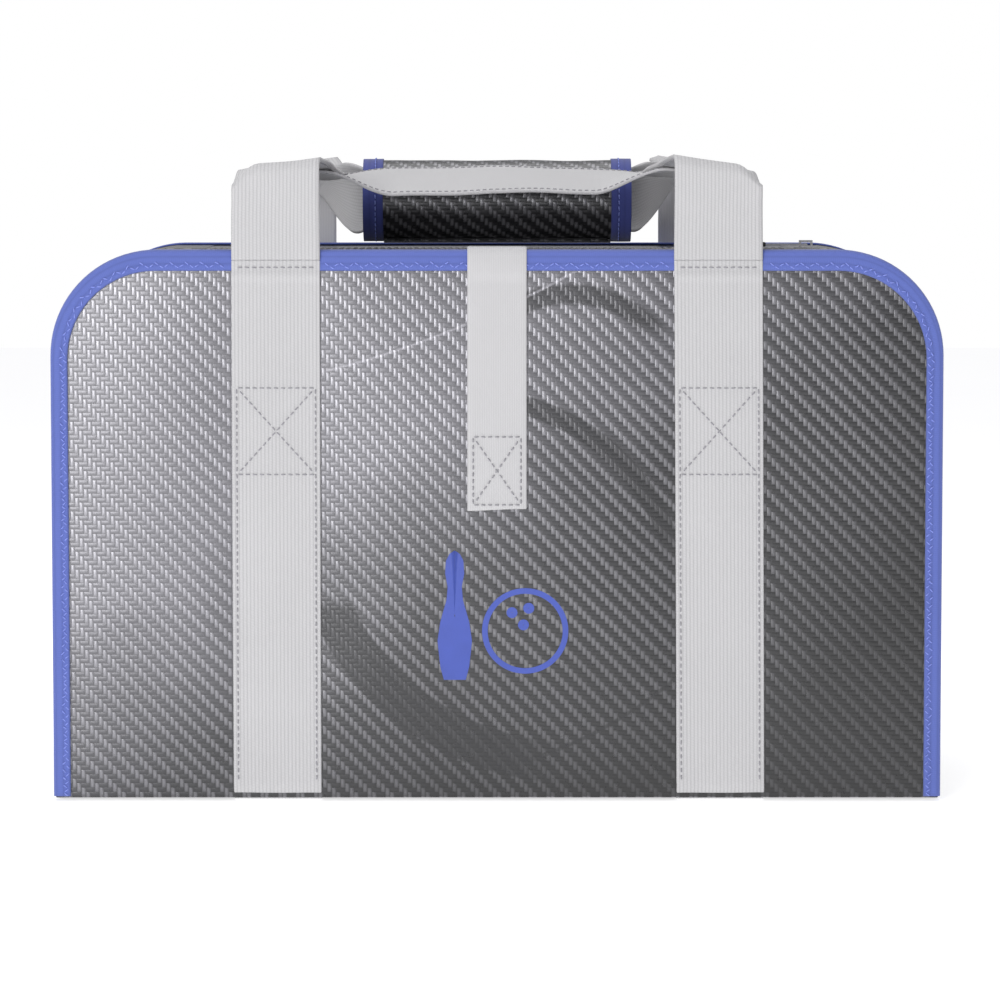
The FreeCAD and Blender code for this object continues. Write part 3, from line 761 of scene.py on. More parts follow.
def pillow(name, lo, hi, nx, ny, rise, material, nodes, quilt=0.0):
    """A flat pad between two heights whose top face is crowned and sewn in squares."""
    def point(r, c):
        x, y = between(lo[0], hi[0], c, nx), between(lo[1], hi[1], r, ny)
        lift = rise * float(smooth_step(min(x - lo[0], hi[0] - x, y - lo[1], hi[1] - y) / 0.006))
        if quilt:
            lift *= 0.35 + 0.65 * abs(math.sin(math.pi * x / quilt) * math.sin(math.pi * y / quilt)) ** 0.4
        return x, y, hi[2] - rise + lift

    pts = surface(ny, nx, point)
    ob = grid(name, pts, pts[..., :2])
    face_out(ob, (0, 0, lo[2] - 1))
    thicken(ob, hi[2] - rise - lo[2], -1.0, 0.0005)
    finish_piece(ob, "bag_shell", material, nodes)


SKIN_REACH = 0.0055                                # how far the base's skin runs under the walls
pillow("base_skin", (BASE_LO[0], BASE_LO[1] - SKIN_REACH, BASE_LO[2]),
       (BASE_HI[0], BASE_HI[1] + SKIN_REACH, BASE_HI[2]), 70, 34, 0.0003, VINYL,
       ("base_vinyl",))
pillow("padded_floor", limits("base_board")[0], limits("base_pad")[1], 200, 90, 0.0016, LINING,
       ("base_board", "base_pad"), quilt=0.045)


# ------------------------------------------------------------------ straps on the body
def ribbon(name, pts, width, lengths):
    """A band from rows of points across it, with UVs in metres: across, and the given lengths along."""
    uv = np.zeros(pts.shape[:2] + (2,))
    uv[..., 0] = np.linspace(-width / 2, width / 2, pts.shape[1])[None, :]
    uv[..., 1] = np.asarray(lengths)[:, None]
    return grid(name, pts, uv)


def sewn_band(name, pts, width, thick, look_from, body, material, node, bevel=0.0005):
    """A thick band that lies on something, seen from the side away from look_from."""
    ob = ribbon(name, pts, width, arc_lengths(pts))
    face_out(ob, look_from)
    thicken(ob, thick, 1.0, bevel)
    finish_piece(ob, body, material, (node,))


def arc_lengths(pts):
    mid = pts[:, pts.shape[1] // 2]
    step = np.linalg.norm(np.diff(mid, axis=0), axis=1)
    return np.concatenate([[0.0], np.cumsum(step)])


def strap_line(side, flip, x):
    """Points (y, z) of the webbing's inner face down one wall at x, stepping over the edge tape."""
    wall = WALLS[side]
    top = ROOT_Z - 0.00005
    out = []
    for z in np.concatenate([np.linspace(top, TOP - 0.024, 14), np.linspace(TOP - 0.026, 0.012, 74)]):
        face = wall.depth(x, z)
        step = float(smooth_step((z - (TOP - TAPE_W - 0.007)) / 0.006))
        y = face * (1 - step) + min(face, -FACE_Y - 0.0001) * step - TAPE_T * step - 0.00015
        root = float(smooth_step((z - (top - 0.0095)) / 0.004))     # pulled flat where the handle is sewn on
        y = y * (1 - root) + (-FACE_Y - ROOT_FLAT) * root
        out.append((-y if flip else y, z))
    return out


def body_strap(name, sx, node):
    """One wide band down the front, under the base and up the rear, with its sewn boxes."""
    lean = 0.0024 * (1 if sx > 0 else 0)
    across = 15
    turn, foot_z = 0.0095, 0.0112                  # radius of the turn under the base, and its height
    cols = []
    for k in range(across):
        off = between(-WEB / 2, WEB / 2, k, across)
        x = sx * STRAP_X + off
        crown = 0.0002 * math.cos(off / WEB * math.pi)
        front, rear = strap_line("front", False, x), strap_line("rear", True, x)[::-1]
        col = [(x + lean * (1 - z / TOP), y - crown, z) for y, z in front]
        for t in np.linspace(0.15, math.pi / 2, 7):
            col.append((x + lean, front[-1][0] + turn - turn * math.cos(t), foot_z - turn * math.sin(t)))
        for y in np.linspace(-FACE_Y + 0.018, FACE_Y - 0.018, 24):
            col.append((x + lean * (1 - (y + FACE_Y) / (2 * FACE_Y)), y, WEB_T))
        for t in np.linspace(math.pi / 2, 0.15, 7):
            col.append((x, rear[0][0] - turn + turn * math.cos(t), foot_z - turn * math.sin(t)))
        col += [(x, y + crown, z) for y, z in rear]
        cols.append(col)
    sewn_band(name, np.array(cols).transpose(1, 0, 2), WEB, WEB_T, (0, 0, TOP / 2), "bag_shell", WEBBING,
              node)
    half = WEB / 2 - 0.0027                        # the stitch rows' distance from the middle
    bx = half - 0.0002
    box_top, box_low, root_row = 0.236, 0.187, ROOT_Z - 0.0042
    runs = []
    for side, flip in SIDES:
        out = 1 if flip else -1

        def at(off, z):
            x = sx * STRAP_X + off
            tape = TAPE_T if z > TOP - TAPE_W - 0.004 else 0.0
            y = WALLS[side].depth(x, z) - WEB_T - tape - 0.00030
            return (x if flip else x + lean * (1 - z / TOP), -y if flip else y, z), (0, out, 0)

        for off in (-half, half):
            runs.append([at(off, z) for z in np.linspace(box_top, 0.012, 40)])
        for z in (box_top, box_low):
            runs.append([at(o, z) for o in np.linspace(-bx, bx, 12)])
        root_y = (FACE_Y + ROOT_FLAT + WEB_T + 0.00025) * out
        runs.append([((at(o, root_row)[0][0], root_y, root_row), (0, out, 0))
                     for o in np.linspace(-bx, bx, 12)])
        for k in (-1, 1):
            runs.append([at(k * bx * (1 - 2 * f), box_top + (box_low - box_top) * f)
                         for f in np.linspace(0.03, 0.97, 14)])
    stitches(name + "_stitches", runs, "bag_shell", THREAD_GREY)


body_strap("left_webbing_strap", -1, "left_body_strap")
body_strap("right_webbing_strap", 1, "right_body_strap")


# ------------------------------------------------------------------ centre strap
def centre_strap():
    """Smooth strap over the top edge and down the front, with a sewn box at its lower end."""
    wall = WALLS["front"]
    half = (CENTRE_HI[0] - CENTRE_LO[0]) / 2
    across = 11
    turn = 0.0040                                  # radius of the turn over the top edge
    cols = []
    for k in range(across):
        off = between(-half, half, k, across)
        col = [(off, y, TOP + 0.0003) for y in np.linspace(CENTRE_HI[1], -FACE_Y + 0.003, 6)]
        for t in np.linspace(0.2, math.pi / 2, 6):
            col.append((off, -FACE_Y + 0.0026 - turn * math.sin(t), TOP + 0.0003 - turn * (1 - math.cos(t))))
        low = CENTRE_LO[2] + 0.0006 * math.sin(off / half * 1.4 + 0.3)
        for z in np.linspace(TOP - 0.006, low, 52):
            step = float(smooth_step((z - (TOP - TAPE_W - 0.006)) / 0.005))
            col.append((off, wall.depth(off, z) - TAPE_T * step - 0.0002, z))
        cols.append(col)
    sewn_band("centre_smooth_strap", np.array(cols).transpose(1, 0, 2), 2 * half, SMOOTH_T,
              (0, -0.09, TOP / 2 + 0.1), "bag_shell", SMOOTH, "centre_strap")

    def at(x, z):
        return (x, wall.depth(x, z) - SMOOTH_T - 0.0005, z), (0, -1, 0)

    top, low, bx = CENTRE_LO[2] + 0.0415, CENTRE_LO[2] + 0.0030, 0.0135
    runs = [[at(x, z) for x in np.linspace(-bx, bx, 8)] for z in (top, low)]
    runs += [[at(x, z) for z in np.linspace(low, top, 10)] for x in (-bx, bx)]
    runs += [[at(k * (bx - 2 * bx * f), low + (top - low) * f) for f in np.linspace(0.05, 0.95, 10)]
             for k in (-1, 1)]
    stitches("centre_strap_stitches", runs, "bag_shell", THREAD_GREY, 0.0037, 0.0026)
    lo, hi = limits("centre_strap_top")
    rows, cols = 40, 9
    pts = surface(rows, cols, lambda r, c: (
        between(-half, half, c, cols), between(lo[1], hi[1], r, rows),
        lo[2] + 0.0002 + 0.0004 * math.sin(r / (rows - 1) * math.pi)))
    sewn_band("centre_strap_on_flap", pts, 2 * half, 0.0012, (0, 0, 0), "front_top_flap", SMOOTH,
              "centre_strap_top", 0.0004)


centre_strap()


# ------------------------------------------------------------------ printed ball and pin
PRINT_LIFT = 0.00022                               # the print stands this far off the vinyl


def on_front(x, z):
    """A printed point on the front wall."""
    return x, WALLS["front"].depth(x, z) - PRINT_LIFT, z


def print_patch(name, verts, faces):
    ob = make(name, verts, faces)
    face_out(ob, (0, 0, TOP / 2))
    finish_piece(ob, "bag_shell", PRINT)


def printed(name, outline):
    """A printed patch: rings of faces round the outline's middle."""
    pts = np.array(outline)
    centre = pts.mean(axis=0)
    rings, count = 8, len(pts)
    verts = [on_front(*(centre + (p - centre) * max(k / rings, 0.02))) for k in range(rings + 1) for p in pts]
    faces = []
    for k in range(rings):
        for i in range(count):
            a, b = k * count + i, k * count + (i + 1) % count
            faces.append((a, b, b + count, a + count))
    print_patch(name, verts, faces)


def ring_patch(name, cx, cz, outer, inner):
    """A printed ring."""
    steps, rings = 96, 4
    verts = [on_front(cx + r * math.cos(t), cz + r * math.sin(t))
             for t in np.radians(np.linspace(0, 360, steps + 1)) for r in np.linspace(inner, outer, rings)]
    print_patch(name, verts, grid_faces(steps + 1, rings))


def emblem():
    """A plain ball with finger holes beside a pin."""
    cx, cz, r = 0.016, 0.098, 0.0245
    ring_patch("print_ball_rim", cx, cz, r, r - 0.0032)
    for i, (dx, dz) in enumerate(((-0.0075, 0.0105), (0.0020, 0.0130), (-0.0010, 0.0035))):
        ring_patch("print_ball_hole_" + str(i + 1), cx + dx, cz + dz, 0.0031, 0.0002)
    profile = [(0.0, 0.0062), (0.10, 0.0082), (0.30, 0.0098), (0.45, 0.0082), (0.62, 0.0046), (0.72, 0.0040),
               (0.82, 0.0054), (0.92, 0.0050), (0.98, 0.0026), (1.0, 0.0)]      # (height, half width)
    heights = np.linspace(0, 1, 40)
    widths = np.interp(heights, *zip(*profile))
    px, pz, tall = -0.024, 0.070, 0.074
    outline = [(px + w, pz + tall * h) for h, w in zip(heights, widths)]
    outline += [(px - w, pz + tall * h) for h, w in zip(heights[::-1], widths[::-1])]
    printed("print_pin", outline)


emblem()


# ------------------------------------------------------------------ folded webbing handles
def fold(pts, flat, n, c, radius, angle):
    """Bends a flat strip about a line: flat . n = c, with the given bend radius and angle.

    pts are the current points (w, t, h), flat the strip's own coordinates (w, t). Points past the
    line turn towards +h. Bends are applied from the strip's far end to its root.
    """
    n = np.array(n) / np.linalg.norm(n)
    d_flat = flat @ n - c
    d_now = pts[..., :2] @ n - c
    h = pts[..., 2]
    arc = radius * angle
    out = pts.copy()
    inside = (d_flat > 0) & (d_flat < arc)
    beyond = d_flat >= arc
    phi = np.where(inside, d_flat / radius, 0.0)
    new_d = np.where(inside, (radius - h) * np.sin(phi), d_now)
    new_h = np.where(inside, radius - (radius - h) * np.cos(phi), h)
    e = d_now - arc
    new_d = np.where(beyond, radius * math.sin(angle) + e * math.cos(angle) - h * math.sin(angle), new_d)
    new_h = np.where(beyond, radius * (1 - math.cos(angle)) + e * math.sin(angle) + h * math.cos(angle), new_h)
    shift = (new_d - d_now)[..., None] * n
    out[..., :2] += shift
    out[..., 2] = new_h
    return out


LEG_STEPS, LEG_LENGTH, LEG_ACROSS = 330, 0.40, 21
FRONT_LEGS = {-1: (6, 0.0495, 0.124), 1: (8, 0.0500, 0.122)}     # side: lean in degrees, height of the
REAR_LEGS = {-1: (8, 0.048, 0.092), 1: (10, 0.049, 0.094)}       # top fold, length to the corner fold
CURL_R = 0.0163                                    # the rear strip's curl inside the grip wrap


def half_handle(sx, bend, lift, reach, target, early):
    """One leg and half of the strip, as rows of points from the root on."""
    w = np.linspace(-WEB / 2, WEB / 2, LEG_ACROSS)
    stations = np.linspace(0.0, LEG_LENGTH, LEG_STEPS)
    flat = np.stack(np.meshgrid(w, stations), axis=2)
    pts = np.concatenate([flat, np.zeros(flat.shape[:2] + (1,))], axis=2)
    beta = math.radians(bend)
    turn = math.pi / 4 + beta / 2
    pts = fold(pts, flat, (-math.sin(turn), math.cos(turn)), reach * math.cos(turn), 0.0021, math.pi)
    pts = fold(pts, flat, (-math.sin(beta), math.cos(beta)), lift * math.cos(beta), 0.0062, math.radians(97))
    world = np.stack([sx * (STRAP_X - pts[..., 0]), pts[..., 2] - FACE_Y - 0.0030, pts[..., 1] + ROOT_Z],
                     axis=2)
    outer = smooth_step((-pts[..., 0] - 0.006) / 0.020)
    crest = np.exp(-((flat[..., 1] - lift - 0.006) / 0.013) ** 2)
    world[..., 2] -= 0.0105 * outer * outer * crest              # rounded outer shoulder of the fold
    crossing = reach + WEB / 2 * math.tan(turn)    # where the strip has left the fold on both edges
    for i, s in enumerate(stations):
        f = float(smooth_step((s - crossing + early) / 0.045))
        if f > 0:
            world[i] = world[i] * (1 - f) + target(world[i, LEG_ACROSS // 2, 0], w) * f
    middle = world[:, LEG_ACROSS // 2, 0] * sx
    last = int(np.argmax((middle < 0) & (stations > reach))) or LEG_STEPS - 1
    world[last, :, 0] = 0.0
    return world[: last + 1]


def front_target(x, w):
    """The front handle's flat strip: smooth side up, its far edge higher."""
    mid_y, tilt = -0.037, math.radians(17)
    mid_z = ROOT_Z + 0.0422 + 0.0022 * math.cos(x * 20)
    return np.stack([np.full_like(w, x), mid_y + w * math.cos(tilt), mid_z + w * math.sin(tilt)], axis=1)


def rear_target(x, w):
    """The rear handle's strip, curled against the far wall of the grip tube."""
    curl = float(smooth_step((0.125 - abs(x)) / 0.05))
    r = CURL_R + (1 - curl) * 0.053
    y = GRIP_Y + CURL_R - r + r * np.cos(w / r)
    return np.stack([np.full_like(w, x), -y, GRIP_Z + r * np.sin(w / r)], axis=1)


def whole_handle(target, legs, early):
    """Both legs and the strip between them, as one band that is even at its middle."""
    left, right = (half_handle(sx, *legs[sx], target, early) for sx in (-1, 1))
    whole = np.concatenate([left, right[::-1][1:]], axis=0)
    seam, blend = len(left) - 1, 30
    for k in range(1, blend):
        f = 0.5 * (1 - k / blend)
        a, b = whole[seam - k].copy(), whole[seam + k].copy()
        whole[seam - k, :, 1:] = a[:, 1:] * (1 - f) + b[:, 1:] * f
        whole[seam + k, :, 1:] = b[:, 1:] * (1 - f) + a[:, 1:] * f
    return whole


def crumple(whole, lengths, seed, in_wrap):
    """Soft unevenness, growing from the roots; calm where the band runs inside the wrap."""
    for i in range(len(whole)):
        from_root = float(smooth_step((min(lengths[i], lengths[-1] - lengths[i]) - 0.006) / 0.03))
        for p in whole[i]:
            gain = from_root
            if in_wrap:
                gain *= 0.25 + 0.75 * float(smooth_step((abs(p[0]) - 0.080) / 0.02))
            p[2] += gain * 0.0013 * ripple(p, 26.0, seed)
            p[1] += gain * 0.0016 * ripple(p, 19.0, seed + 9)
            p[0] += gain * 0.0006 * ripple(p, 30.0, seed + 5)


def edge_run(pts, col):
    """Points and normals along one column of a band, at every third row."""
    run = []
    for i in range(0, len(pts), 3):
        along = pts[min(i + 1, len(pts) - 1), col] - pts[max(i - 1, 0), col]
        normal = Vector(along).cross(Vector(pts[i, col + 1] - pts[i, col - 1]))
        if normal.length >= 1e-12:
            run.append((Vector(pts[i, col]), normal.normalized()))
    return run


def build_handle(side, flip, target, legs, early, seed):
    """A handle's band of ribbed webbing, crumpled, with the smooth lining ready as a second material for its
    inside; finish_handle thickens it and sews a stitch row along each edge.
    """
    pts = whole_handle(target, legs, early)
    lengths = arc_lengths(pts)
    crumple(pts, lengths, seed, flip)
    pts = mirrored(pts, y=flip)
    ob = ribbon(side + "_handle_band", pts, WEB, lengths)
    ob.data.materials.append(WEBBING)
    ob.data.materials.append(SMOOTH)
    return ob, pts


def finish_handle(side, flip, ob, pts):
    if (ob.data.polygons[0].normal.y > 0) != flip:
        ob.data.flip_normals()
    mod = ob.modifiers.new("thickness", "SOLIDIFY")
    mod.thickness, mod.offset = WEB_T, -1.0
    mod.material_offset = 1
    finish_piece(ob, side + "_handle", WEBBING,
                 (side + "_handle_webbing", side + "_handle_lining"))
    runs = []
    for run in (edge_run(pts, 1), edge_run(pts, pts.shape[1] - 2)):
        sign = 1 if (run[0][1][1] > 0) == flip else -1
        inner = [(p - q * sign * (WEB_T + 0.0001), -q * sign) for p, q in run]
        runs.append(inner[12:-12])
    stitches(side + "_handle_band_stitches", runs, side + "_handle", THREAD_GREY,
             0.0037, 0.0026, 0.00036)


finish_handle("front", False, *build_handle("front", False, front_target, FRONT_LEGS, 0.010, 2.0))
finish_handle("rear", True, *build_handle("rear", True, rear_target, REAR_LEGS, 0.032, 6.0))


# ------------------------------------------------------------------ grip wrap
def grip_shell(name, radius, thick, a0, a1, x0, x1, material, nodes, body, dent=0.0006, cols=40):
    """Part of the tube's wall, slightly uneven, between two angles in degrees."""
    rows = max(6, int(abs(a1 - a0) / 2.5))
    crease = 0.0021                                # depth and reach of the crease at the hinge line

    def polar(r, c):
        t, x = math.radians(between(a0, a1, r, rows)), between(x0, x1, c, cols)
        rr = radius + dent * ripple((x, math.cos(t) * 0.03, math.sin(t) * 0.03), 34.0, 3.0)
        return x, t, rr - crease * math.exp(-(((t - math.pi / 2) * radius / crease) ** 2))

    x, t, rr = np.moveaxis(surface(rows, cols, polar), 2, 0)
    pts = np.stack([x, GRIP_Y + rr * np.cos(t), GRIP_Z + rr * np.sin(t)], axis=2)
    ob = grid(name, pts, np.stack([-x, radius * t], axis=2))
    face_out(ob, (0, GRIP_Y, GRIP_Z))
    thicken(ob, thick, -1.0, 0.0005)
    return finish_piece(ob, body, material, nodes)


def grip_wrap():
    """The wrap's fixed and opening halves, each with taped ends, and its touch tape."""
    tape, row_r = 0.012, GRIP_R + 0.0012
    for half, body, a0, a1 in (("fixed", "rear_handle", 90.8, 268.0), ("flap", "grip_wrap_flap", -87.6, 89.2)):
        ob = grip_shell("grip_" + half + "_skin", GRIP_R, 0.0030, a0, a1, WRAP_X0 + 0.001, WRAP_X1 - 0.001,
                        VINYL, ("grip_%s_vinyl" % half, "grip_%s_foam" % half), body)
        for tag, lo, hi in (("left", WRAP_X0, WRAP_X0 + tape), ("right", WRAP_X1 - tape, WRAP_X1)):
            # the wrap's taped ends use the darker copy of the blue tape: painted shade
            grip_shell("grip_%s_tape_%s" % (half, tag), GRIP_R + 0.0009, 0.0048, a0, a1, lo, hi, SHADED_BINDING,
                       ("grip_%s_binding" % half,), body, 0.0004, 8)
        runs = []
        for x in (WRAP_X0 + tape * 0.62, WRAP_X1 - tape * 0.62):
            turns = [(math.cos(t), math.sin(t)) for t in np.radians(np.linspace(a0 + 8, a1 - 8, 38))]
            runs.append([((x, GRIP_Y + row_r * c, GRIP_Z + row_r * s), (0, c, s)) for c, s in turns])
        stitches("grip_%s_stitches" % half, runs, body, THREAD_BLUE, 0.0036, 0.0027, 0.00034)
    x0, x1 = (box[0] for box in limits("grip_loop_tape"))
    grip_shell("grip_loop_pad", GRIP_R + 0.0007, 0.0006, 250.5, 265.5, x0, x1, TOUCH,
               ("grip_loop_tape",), "rear_handle", 0.0)
    grip_shell("grip_flap_lap", GRIP_R + 0.0018, 0.0008, -109.5, -84.0, x0 - 0.002, x1 + 0.002, VINYL,
               (), "grip_wrap_flap", 0.0)


grip_wrap()


# ------------------------------------------------------------------ top flaps and zip
def top_flap(side, flip):
    """Half of the top: padded vinyl with a turned and sewn edge along the zip."""
    rows, cols = 34, 100
    lo, hi = FLAP_LO, FLAP_HI

    def point(r, c):
        x, y = between(lo[0], hi[0], c, cols), between(lo[1], hi[1], r, rows)
        soft = float(smooth_step(min(x - lo[0], hi[0] - x, y - lo[1], hi[1] - y) / 0.03))
        return x, y, hi[2] - 0.0006 * (1 - soft) - soft * (0.0012 + 0.0008 * ripple((x, y, 0), 13.0, 7.0))

    pts = surface(rows, cols, point)
    ob = grid(side + "_top_panel", mirrored(pts, y=flip), pts[..., :2])
    face_out(ob, (0, 0, 0))
    thicken(ob, 0.0024, -1.0, 0.0006)
    finish_piece(ob, side + "_top_flap", VINYL, (side + "_flap_panel",))
    sy = 1 if flip else -1
    run = [((x, sy * (-hi[1] + 0.003), hi[2] - 0.0004), (0, 0, 1))
           for x in np.linspace(lo[0] + 0.004, hi[0] - 0.004, 30)]
    stitches(side + "_top_panel_stitches", [run], side + "_top_flap", THREAD_GREY)


def flat_tape(name, boxes, body, nodes):
    """Woven zip tape as one piece of several flat strips."""
    verts, faces, uvs = [], [], []
    for lo, hi in boxes:
        rows, cols = 8, max(4, int((hi[0] - lo[0]) / 0.006))
        base = len(verts)
        for r in range(rows):
            for c in range(cols):
                x, y = between(lo[0], hi[0], c, cols), between(lo[1], hi[1], r, rows)
                verts.append((x, y, hi[2] - 0.00005))
                uvs.append((y, x))
        faces += [tuple(i + base for i in f) for f in grid_faces(rows, cols)]
    ob = make(name, verts, faces, uvs)
    face_out(ob, (0, 0, 0))
    thicken(ob, 0.0005, -1.0)
    finish_piece(ob, body, ZIP_CLOTH, nodes)


def ring_faces(base, steps, ring):
    """Quads of a closed tube: steps sections of ring points each, joined end to end."""
    faces = []
    for i in range(steps):
        for j in range(ring):
            here, there, k = base + i * ring, base + (i + 1) % steps * ring, (j + 1) % ring
            faces.append((here + j, here + k, there + k, there + j))
    return faces


def coil(name, runs, body, nodes):
    """Nylon coil: a row of rounded loops along X for each (x0, x1, side)."""
    verts, faces = [], []
    lo, hi = limits("front_zip_coil")
    mid_y, mid_z = (lo[1] + hi[1]) / 2, (lo[2] + hi[2]) / 2
    pitch, loop_y, loop_z, lean, thread = 0.0023, 0.00105, 0.00088, 0.0003, 0.00042
    ring, steps = 6, 10
    for x0, x1, sy in runs:
        count = int((x1 - x0) / pitch)
        for k in range(count):
            middle = Vector((x0 + (k + 0.5) * (x1 - x0) / count, -sy * mid_y, mid_z))
            base = len(verts)
            for t in np.linspace(0, 2 * math.pi, steps, endpoint=False):
                arm = Vector((lean * math.sin(t), -sy * loop_y * math.cos(t), loop_z * math.sin(t)))
                out = arm.normalized()
                for a in np.linspace(0, 2 * math.pi, ring, endpoint=False):
                    verts.append(middle + arm + (out * math.cos(a) + Vector((1, 0, 0)) * math.sin(a)) * thread)
            faces += ring_faces(base, steps, ring)
    finish_piece(make(name, verts, faces), body, COIL, nodes)


for side, flip in SIDES:
    top_flap(side, flip)
    flat_tape(side + "_zip_cloth", [limits(side + "_zip_tape")], side + "_top_flap", (side + "_zip_tape",))
    lo, hi = limits(side + "_zip_coil")
    coil(side + "_zip_loops", [(lo[0] + 0.0005, hi[0] - 0.0005, 1 if flip else -1)], side + "_top_flap",
         (side + "_zip_coil",))
TAPE_LO, TAPE_HI = limits("front_zip_tape")
for end in ("left", "right"):
    lo, hi = limits(end + "_zip_end")
    strips = [((lo[0], y0, TAPE_LO[2]), (hi[0], y1, TAPE_HI[2]))
              for y0, y1 in ((TAPE_LO[1], TAPE_HI[1]), (-TAPE_HI[1], -TAPE_LO[1]))]
    flat_tape(end + "_zip_end_cloth", strips, "bag_shell", (end + "_zip_end",))
    near, away = (0.0035, 0.0004) if end == "left" else (0.0004, 0.0035)
    coil(end + "_zip_end_loops", [(lo[0] + near, hi[0] - away, sy) for sy in (-1, 1)], "bag_shell", ())


# ------------------------------------------------------------------ inside: seats and divider
SEAT_R = 0.1085                                    # radius of the ball that a seat is hollowed for


def ball_seat(name, node):
    """Moulded foam ring with a rounded rim and a spherical seat."""
    lo, hi = limits(node)
    cx, r = (lo[0] + hi[0]) / 2, (hi[0] - lo[0]) / 2
    base, high = lo[2] + 0.0003, hi[2]
    profile = [(0.0352, base), (0.0356, base + 0.0085)]
    for s in np.linspace(0.040, r - 0.009, 9):
        profile.append((s, base + 0.0040 + SEAT_R - math.sqrt(SEAT_R ** 2 - s ** 2)))
    for t in np.linspace(0, math.pi / 2, 6):
        profile.append((r - 0.006 + 0.0055 * math.sin(t), high - 0.0075 + 0.0055 * math.cos(t)))
    profile += [(r - 0.0004, base + 0.006), (r - 0.0022, base + 0.0005)]
    steps = 72
    turns = [2 * math.pi * i / steps for i in range(steps)]
    verts = [(cx + s * math.cos(t), s * math.sin(t), z) for t in turns for s, z in profile]
    faces = [(a, d, c, b) for a, b, c, d in ring_faces(0, steps, len(profile))]
    ob = make(name, verts, faces)
    finish_piece(ob, "bag_shell", FOAM, (node,))


ball_seat("left_foam_seat", "left_ball_cup")
ball_seat("right_foam_seat", "right_ball_cup")


def padded_divider():
    """Padded divider with swollen faces and two end flanges."""
    (x0, _, low), (x1, reach, high) = DIVIDER_LO, DIVIDER_HI
    half, rows, cols = 0.0040, 60, 60
    loop = [(side, side * f) for side in (1, -1) for f in np.linspace(-1, 1, cols)]
    verts, faces = [], []
    for r in range(rows):
        z = low + 0.0004 + (high - low - 0.0008) * r / (rows - 1)
        edge = float(smooth_step(min(z - low, high - z) / 0.008))
        for sx, f in loop:
            puff = (1 - abs(f) ** 6) * edge
            seam = abs(math.sin(math.pi * f * 3)) ** 0.35 * abs(math.sin(math.pi * (z - low) / 0.0333)) ** 0.35
            verts.append((sx * (half * (0.35 + 0.5 * puff) + 0.0012 * puff * seam), f * (reach - 0.002), z))
    m = len(loop)
    for r in range(rows - 1):
        for i in range(m):
            a, b = r * m + i, r * m + (i + 1) % m
            faces.append((a, b, b + m, a + m))
    faces.append(tuple(range(m))[::-1])
    faces.append(tuple((rows - 1) * m + i for i in range(m)))
    ob = make("padded_divider", verts, faces)
    finish_piece(ob, "divider", LINING, ("ball_divider",))
    for tag, sy in (("front", -1), ("rear", 1)):
        def point(r, c):
            z = low + 0.0005 + (high - low - 0.001) * r / 39
            return between(x0, x1, c, 9), sy * (reach - 0.0018 + 0.0004 * math.sin(z * 400)), z

        pts = surface(40, 9, point)
        ob = grid("divider_flange_" + tag, pts, pts[..., (0, 2)])
        face_out(ob, (0, 0, 0.1))
        thicken(ob, 0.0012, 1.0, 0.0003)
        finish_piece(ob, "divider", LINING)


padded_divider()


# ------------------------------------------------------------------ CAD nodes that stay
def dress(node, material, bevel):
    """Material and softened edges for a CAD solid that is shown as it is."""
    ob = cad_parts[node]
    ob.data.materials.clear()
    ob.data.materials.append(material)
    mod = ob.modifiers.new("edge", "BEVEL")
    mod.width, mod.segments, mod.limit_method = bevel, 3, "ANGLE"
    mod.angle_limit = math.radians(35)


for node, material, bevel in (
    ("zip_slider_body", METAL, 0.0004), ("zip_pull_plate", METAL, 0.0003), ("zip_pull_grip", RUBBER, 0.0002),
    ("zip_stops", METAL, 0.0005), ("divider_hook_tapes", TOUCH, 0.0003), ("lining_loop_tapes", TOUCH, 0.0003),
):
    dress(node, material, bevel)


# ------------------------------------------------------------------ floor, light and camera
FLOOR_HALF = 6.0
CAMERA_DISTANCE = 2.40                             # from the front face
CAMERA_Z = TOP + 0.046
AIM_Z = 0.1722


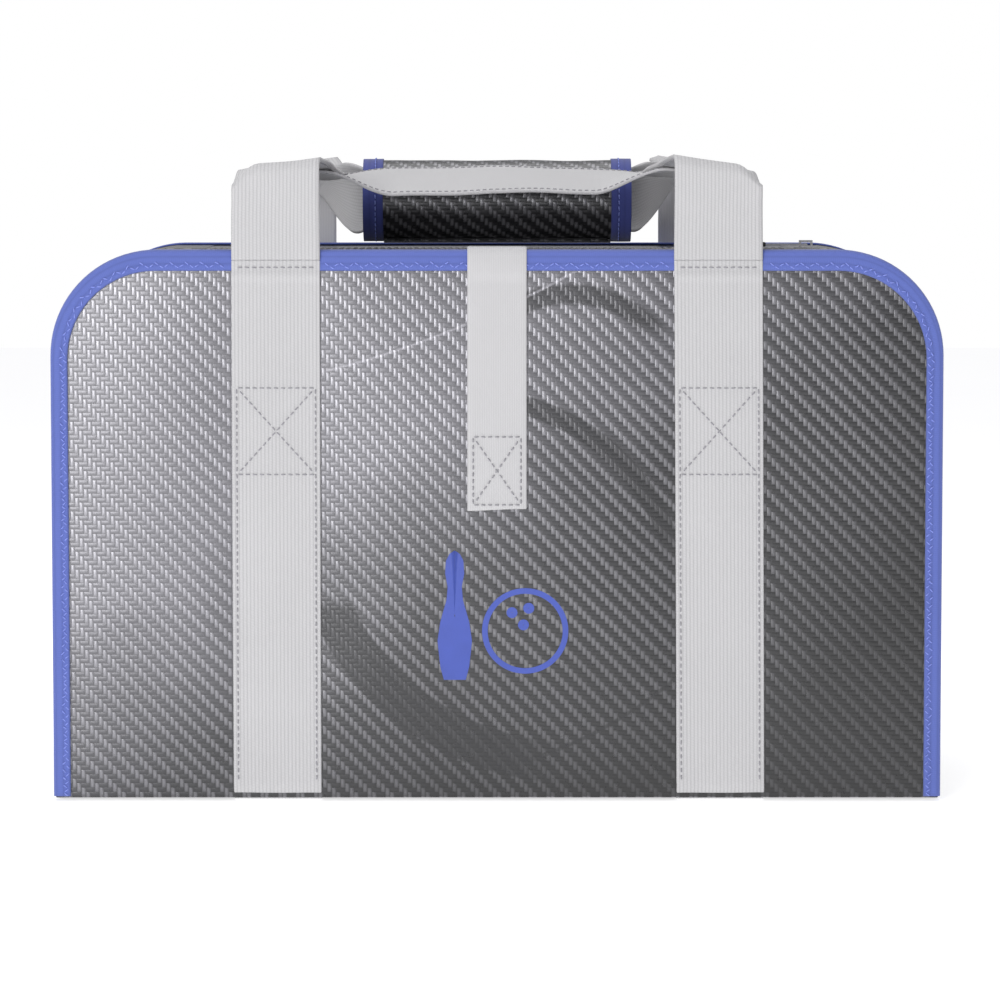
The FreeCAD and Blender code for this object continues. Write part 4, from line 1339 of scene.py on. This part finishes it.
def studio():
    """Pale floor, one large soft key from the left, a weak one above, and the camera."""
    corners = [(sx * FLOOR_HALF, sy * FLOOR_HALF, 0) for sx, sy in ((-1, -1), (1, -1), (1, 1), (-1, 1))]
    floor = make("studio_floor", corners, [(0, 1, 2, 3)], smooth=False)
    n = Nodes("floor_paper")
    tone = n.noise(n.obj(), 3.0, 2.0)
    n.done(n.mix(tone, (0.86, 0.86, 0.87), (0.90, 0.90, 0.905)), 0.9, Emission_Color=(1, 1, 1, 1),
           Emission_Strength=0.62)
    floor.data.materials.append(n.mat)
    scene = bpy.context.scene
    world = bpy.data.worlds.new("studio")
    scene.world = world
    world.use_nodes = True
    tree = world.node_tree
    back = tree.nodes["Background"]
    back.inputs[0].default_value = (0.97, 0.97, 1.0, 1.0)
    back.inputs[1].default_value = 0.40
    clear = tree.nodes.new("ShaderNodeBackground")
    clear.inputs[0].default_value = (1.0, 1.0, 1.0, 1.0)
    seen = tree.nodes.new("ShaderNodeMixShader")
    tree.links.new(tree.nodes.new("ShaderNodeLightPath").outputs["Is Camera Ray"], seen.inputs[0])
    tree.links.new(back.outputs[0], seen.inputs[1])
    tree.links.new(clear.outputs[0], seen.inputs[2])
    tree.links.new(seen.outputs[0], tree.nodes["World Output"].inputs[0])

    def area(name, where, aim, size, power):
        data = bpy.data.lights.new(name, "AREA")
        data.shape = "RECTANGLE"
        data.size, data.size_y, data.energy = size[0], size[1], power
        ob = bpy.data.objects.new(name, data)
        ob.location = where
        ob.rotation_euler = (Vector(aim) - Vector(where)).to_track_quat("-Z", "Y").to_euler()
        scene.collection.objects.link(ob)

    area("key_left", (-1.25, -3.2, 0.95), (-0.1, 0, 0.2), (1.5, 1.8), 62)
    area("top_soft", (-0.1, 0.2, 1.8), (0, 0, 0.2), (1.8, 1.4), 15)
    scene.view_settings.view_transform = "Standard"

    cam_data = bpy.data.cameras.new("camera")
    cam_data.lens = 152.7
    cam_data.sensor_width = 36.0
    cam_data.clip_end = 30
    cam = bpy.data.objects.new("camera", cam_data)
    cam.location = (0.0017, -FACE_Y - CAMERA_DISTANCE, CAMERA_Z)
    cam.rotation_euler = (math.pi / 2 - math.atan((CAMERA_Z - AIM_Z) / CAMERA_DISTANCE), 0, 0)
    scene.collection.objects.link(cam)
    scene.camera = cam


studio()
